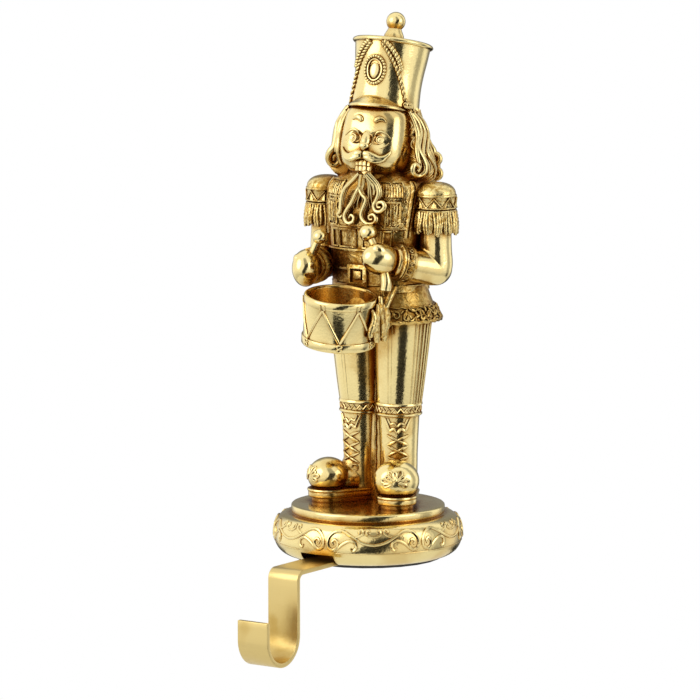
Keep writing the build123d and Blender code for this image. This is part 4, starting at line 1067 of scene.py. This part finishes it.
# Zinc whose recesses take painted shade from metal().
zinc = metal("dull_zinc", (0.62, 0.60, 0.57), (0.42, 0.40, 0.38), (0.25, 0.24, 0.22), 0.34, 0.02, 0.0)
rubber, tree, shader, place = blank("matt_rubber")
speck = noise(place, 900, 4)
fill(tree, shader, {"Base Color": blend(speck, (0.035, 0.034, 0.033, 1), (0.06, 0.058, 0.055, 1)),
                    "Roughness": 0.75 + 0.2 * speck, "Normal": bumps(speck, 0.6, 0.00005)})
for node_name, material in (("hook_screws", zinc), ("base_pad", rubber)):
    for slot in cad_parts[node_name].material_slots:
        slot.material = material

# Floor, light and camera.
# A pale disc well below the hook, a white studio with a dark gap behind the camera and a soft lamp on each side,
# and a long lens that looks a little down on the figure.

bpy.ops.mesh.primitive_circle_add(vertices=64, radius=0.42, fill_type="NGON", location=(0, 0, -0.2))
floor = bpy.context.object
floor.name = "pale_floor"
paper, tree, shader, place = blank("pale_paper")
fill(tree, shader, {"Base Color": (0.86, 0.86, 0.85, 1), "Roughness": 0.9})
floor.data.materials.append(paper)

VIEW_TURN = 0.59443
RIGHT = Vector((cos(VIEW_TURN), sin(VIEW_TURN), 0))
NEAR = Vector((sin(VIEW_TURN), -cos(VIEW_TURN), 0))
world = bpy.data.worlds.new("studio")
bpy.context.scene.world = world
world.use_nodes = True
tree = world.node_tree
ray = node(tree, "TexCoord", {})
sideways, nearer, height = (node(tree, "VectorMath", {0: ray, 1: axis}, 1, operation="DOT_PRODUCT")
                            for axis in (RIGHT, NEAR, UP))
azimuth = sideways.sum("ARCTAN2", sideways, nearer)
slant = 0.33 - height.sum("ABSOLUTE", height - 0.33, 0.0)
gap = between(azimuth - 0.7 * slant + 0.07, -0.05, 0.05) * (1 - between(azimuth - 0.7 * slant - 0.594, -0.06, 0.06))
gap = gap * (1 - 0.35 * between(height, 0.36, 0.5)) * (1 - between(height, 0.82, 0.95))
dim = between(azimuth, radians(80), radians(92)) * (1 - between(azimuth, radians(104), radians(116)))
behind = between(azimuth, radians(125), radians(150)) + (1 - between(azimuth, radians(-165), radians(-140)))
behind = behind * (1 - between(height, 0.5, 0.8))
low = 1 - between(height, -0.6, -0.1)
light = 1.06 - 1.03 * gap - 0.55 * dim - 0.8 * behind - 0.45 * low
path_node = tree.nodes.new("ShaderNodeLightPath")
seen, glossy, clearly = (Shade(tree, path_node.outputs[f"Is {kind} Ray"])
                         for kind in ("Camera", "Glossy", "Transmission"))
mirrored = glossy.sum("MAXIMUM", glossy, clearly)
strength = seen + (1 - seen) * (mirrored * light.sum("MAXIMUM", light, 0.02) + (1 - mirrored) * 0.85)
fill(tree, tree.nodes["Background"], {"Color": (1, 1, 1, 1), "Strength": strength})


def set_up(name, data, location, target):
    """A lamp or camera at a place, looking at another."""
    thing = bpy.data.objects.new(name, data)
    bpy.context.collection.objects.link(thing)
    thing.location = location
    thing.rotation_euler = (target - thing.location).to_track_quat("-Z", "Y").to_euler()
    return thing


for name, swing, rise, reach, size, power in (("left_softbox", -62, 0.45, 1.1, 1.0, 3.5),
                                              ("right_softbox", 62, 0.35, 1.2, 0.7, 1.6)):
    lamp = bpy.data.lights.new(name, "AREA")
    lamp.shape = "DISK"
    lamp.size = size
    lamp.energy = power
    away = NEAR * cos(radians(swing)) + RIGHT * sin(radians(swing))
    set_up(name, lamp, away * reach + UP * (0.1 + rise), UP * 0.1)

lens = bpy.data.cameras.new("camera")
lens.sensor_width = 36
lens.lens = 4766.43 / 700 * 36
aim = RIGHT * -0.007674 + UP * 0.088157
bpy.context.scene.camera = set_up("camera", lens, aim + NEAR * 2.0 + UP * 0.27905, aim)
bpy.context.scene.view_settings.view_transform = "Standard"
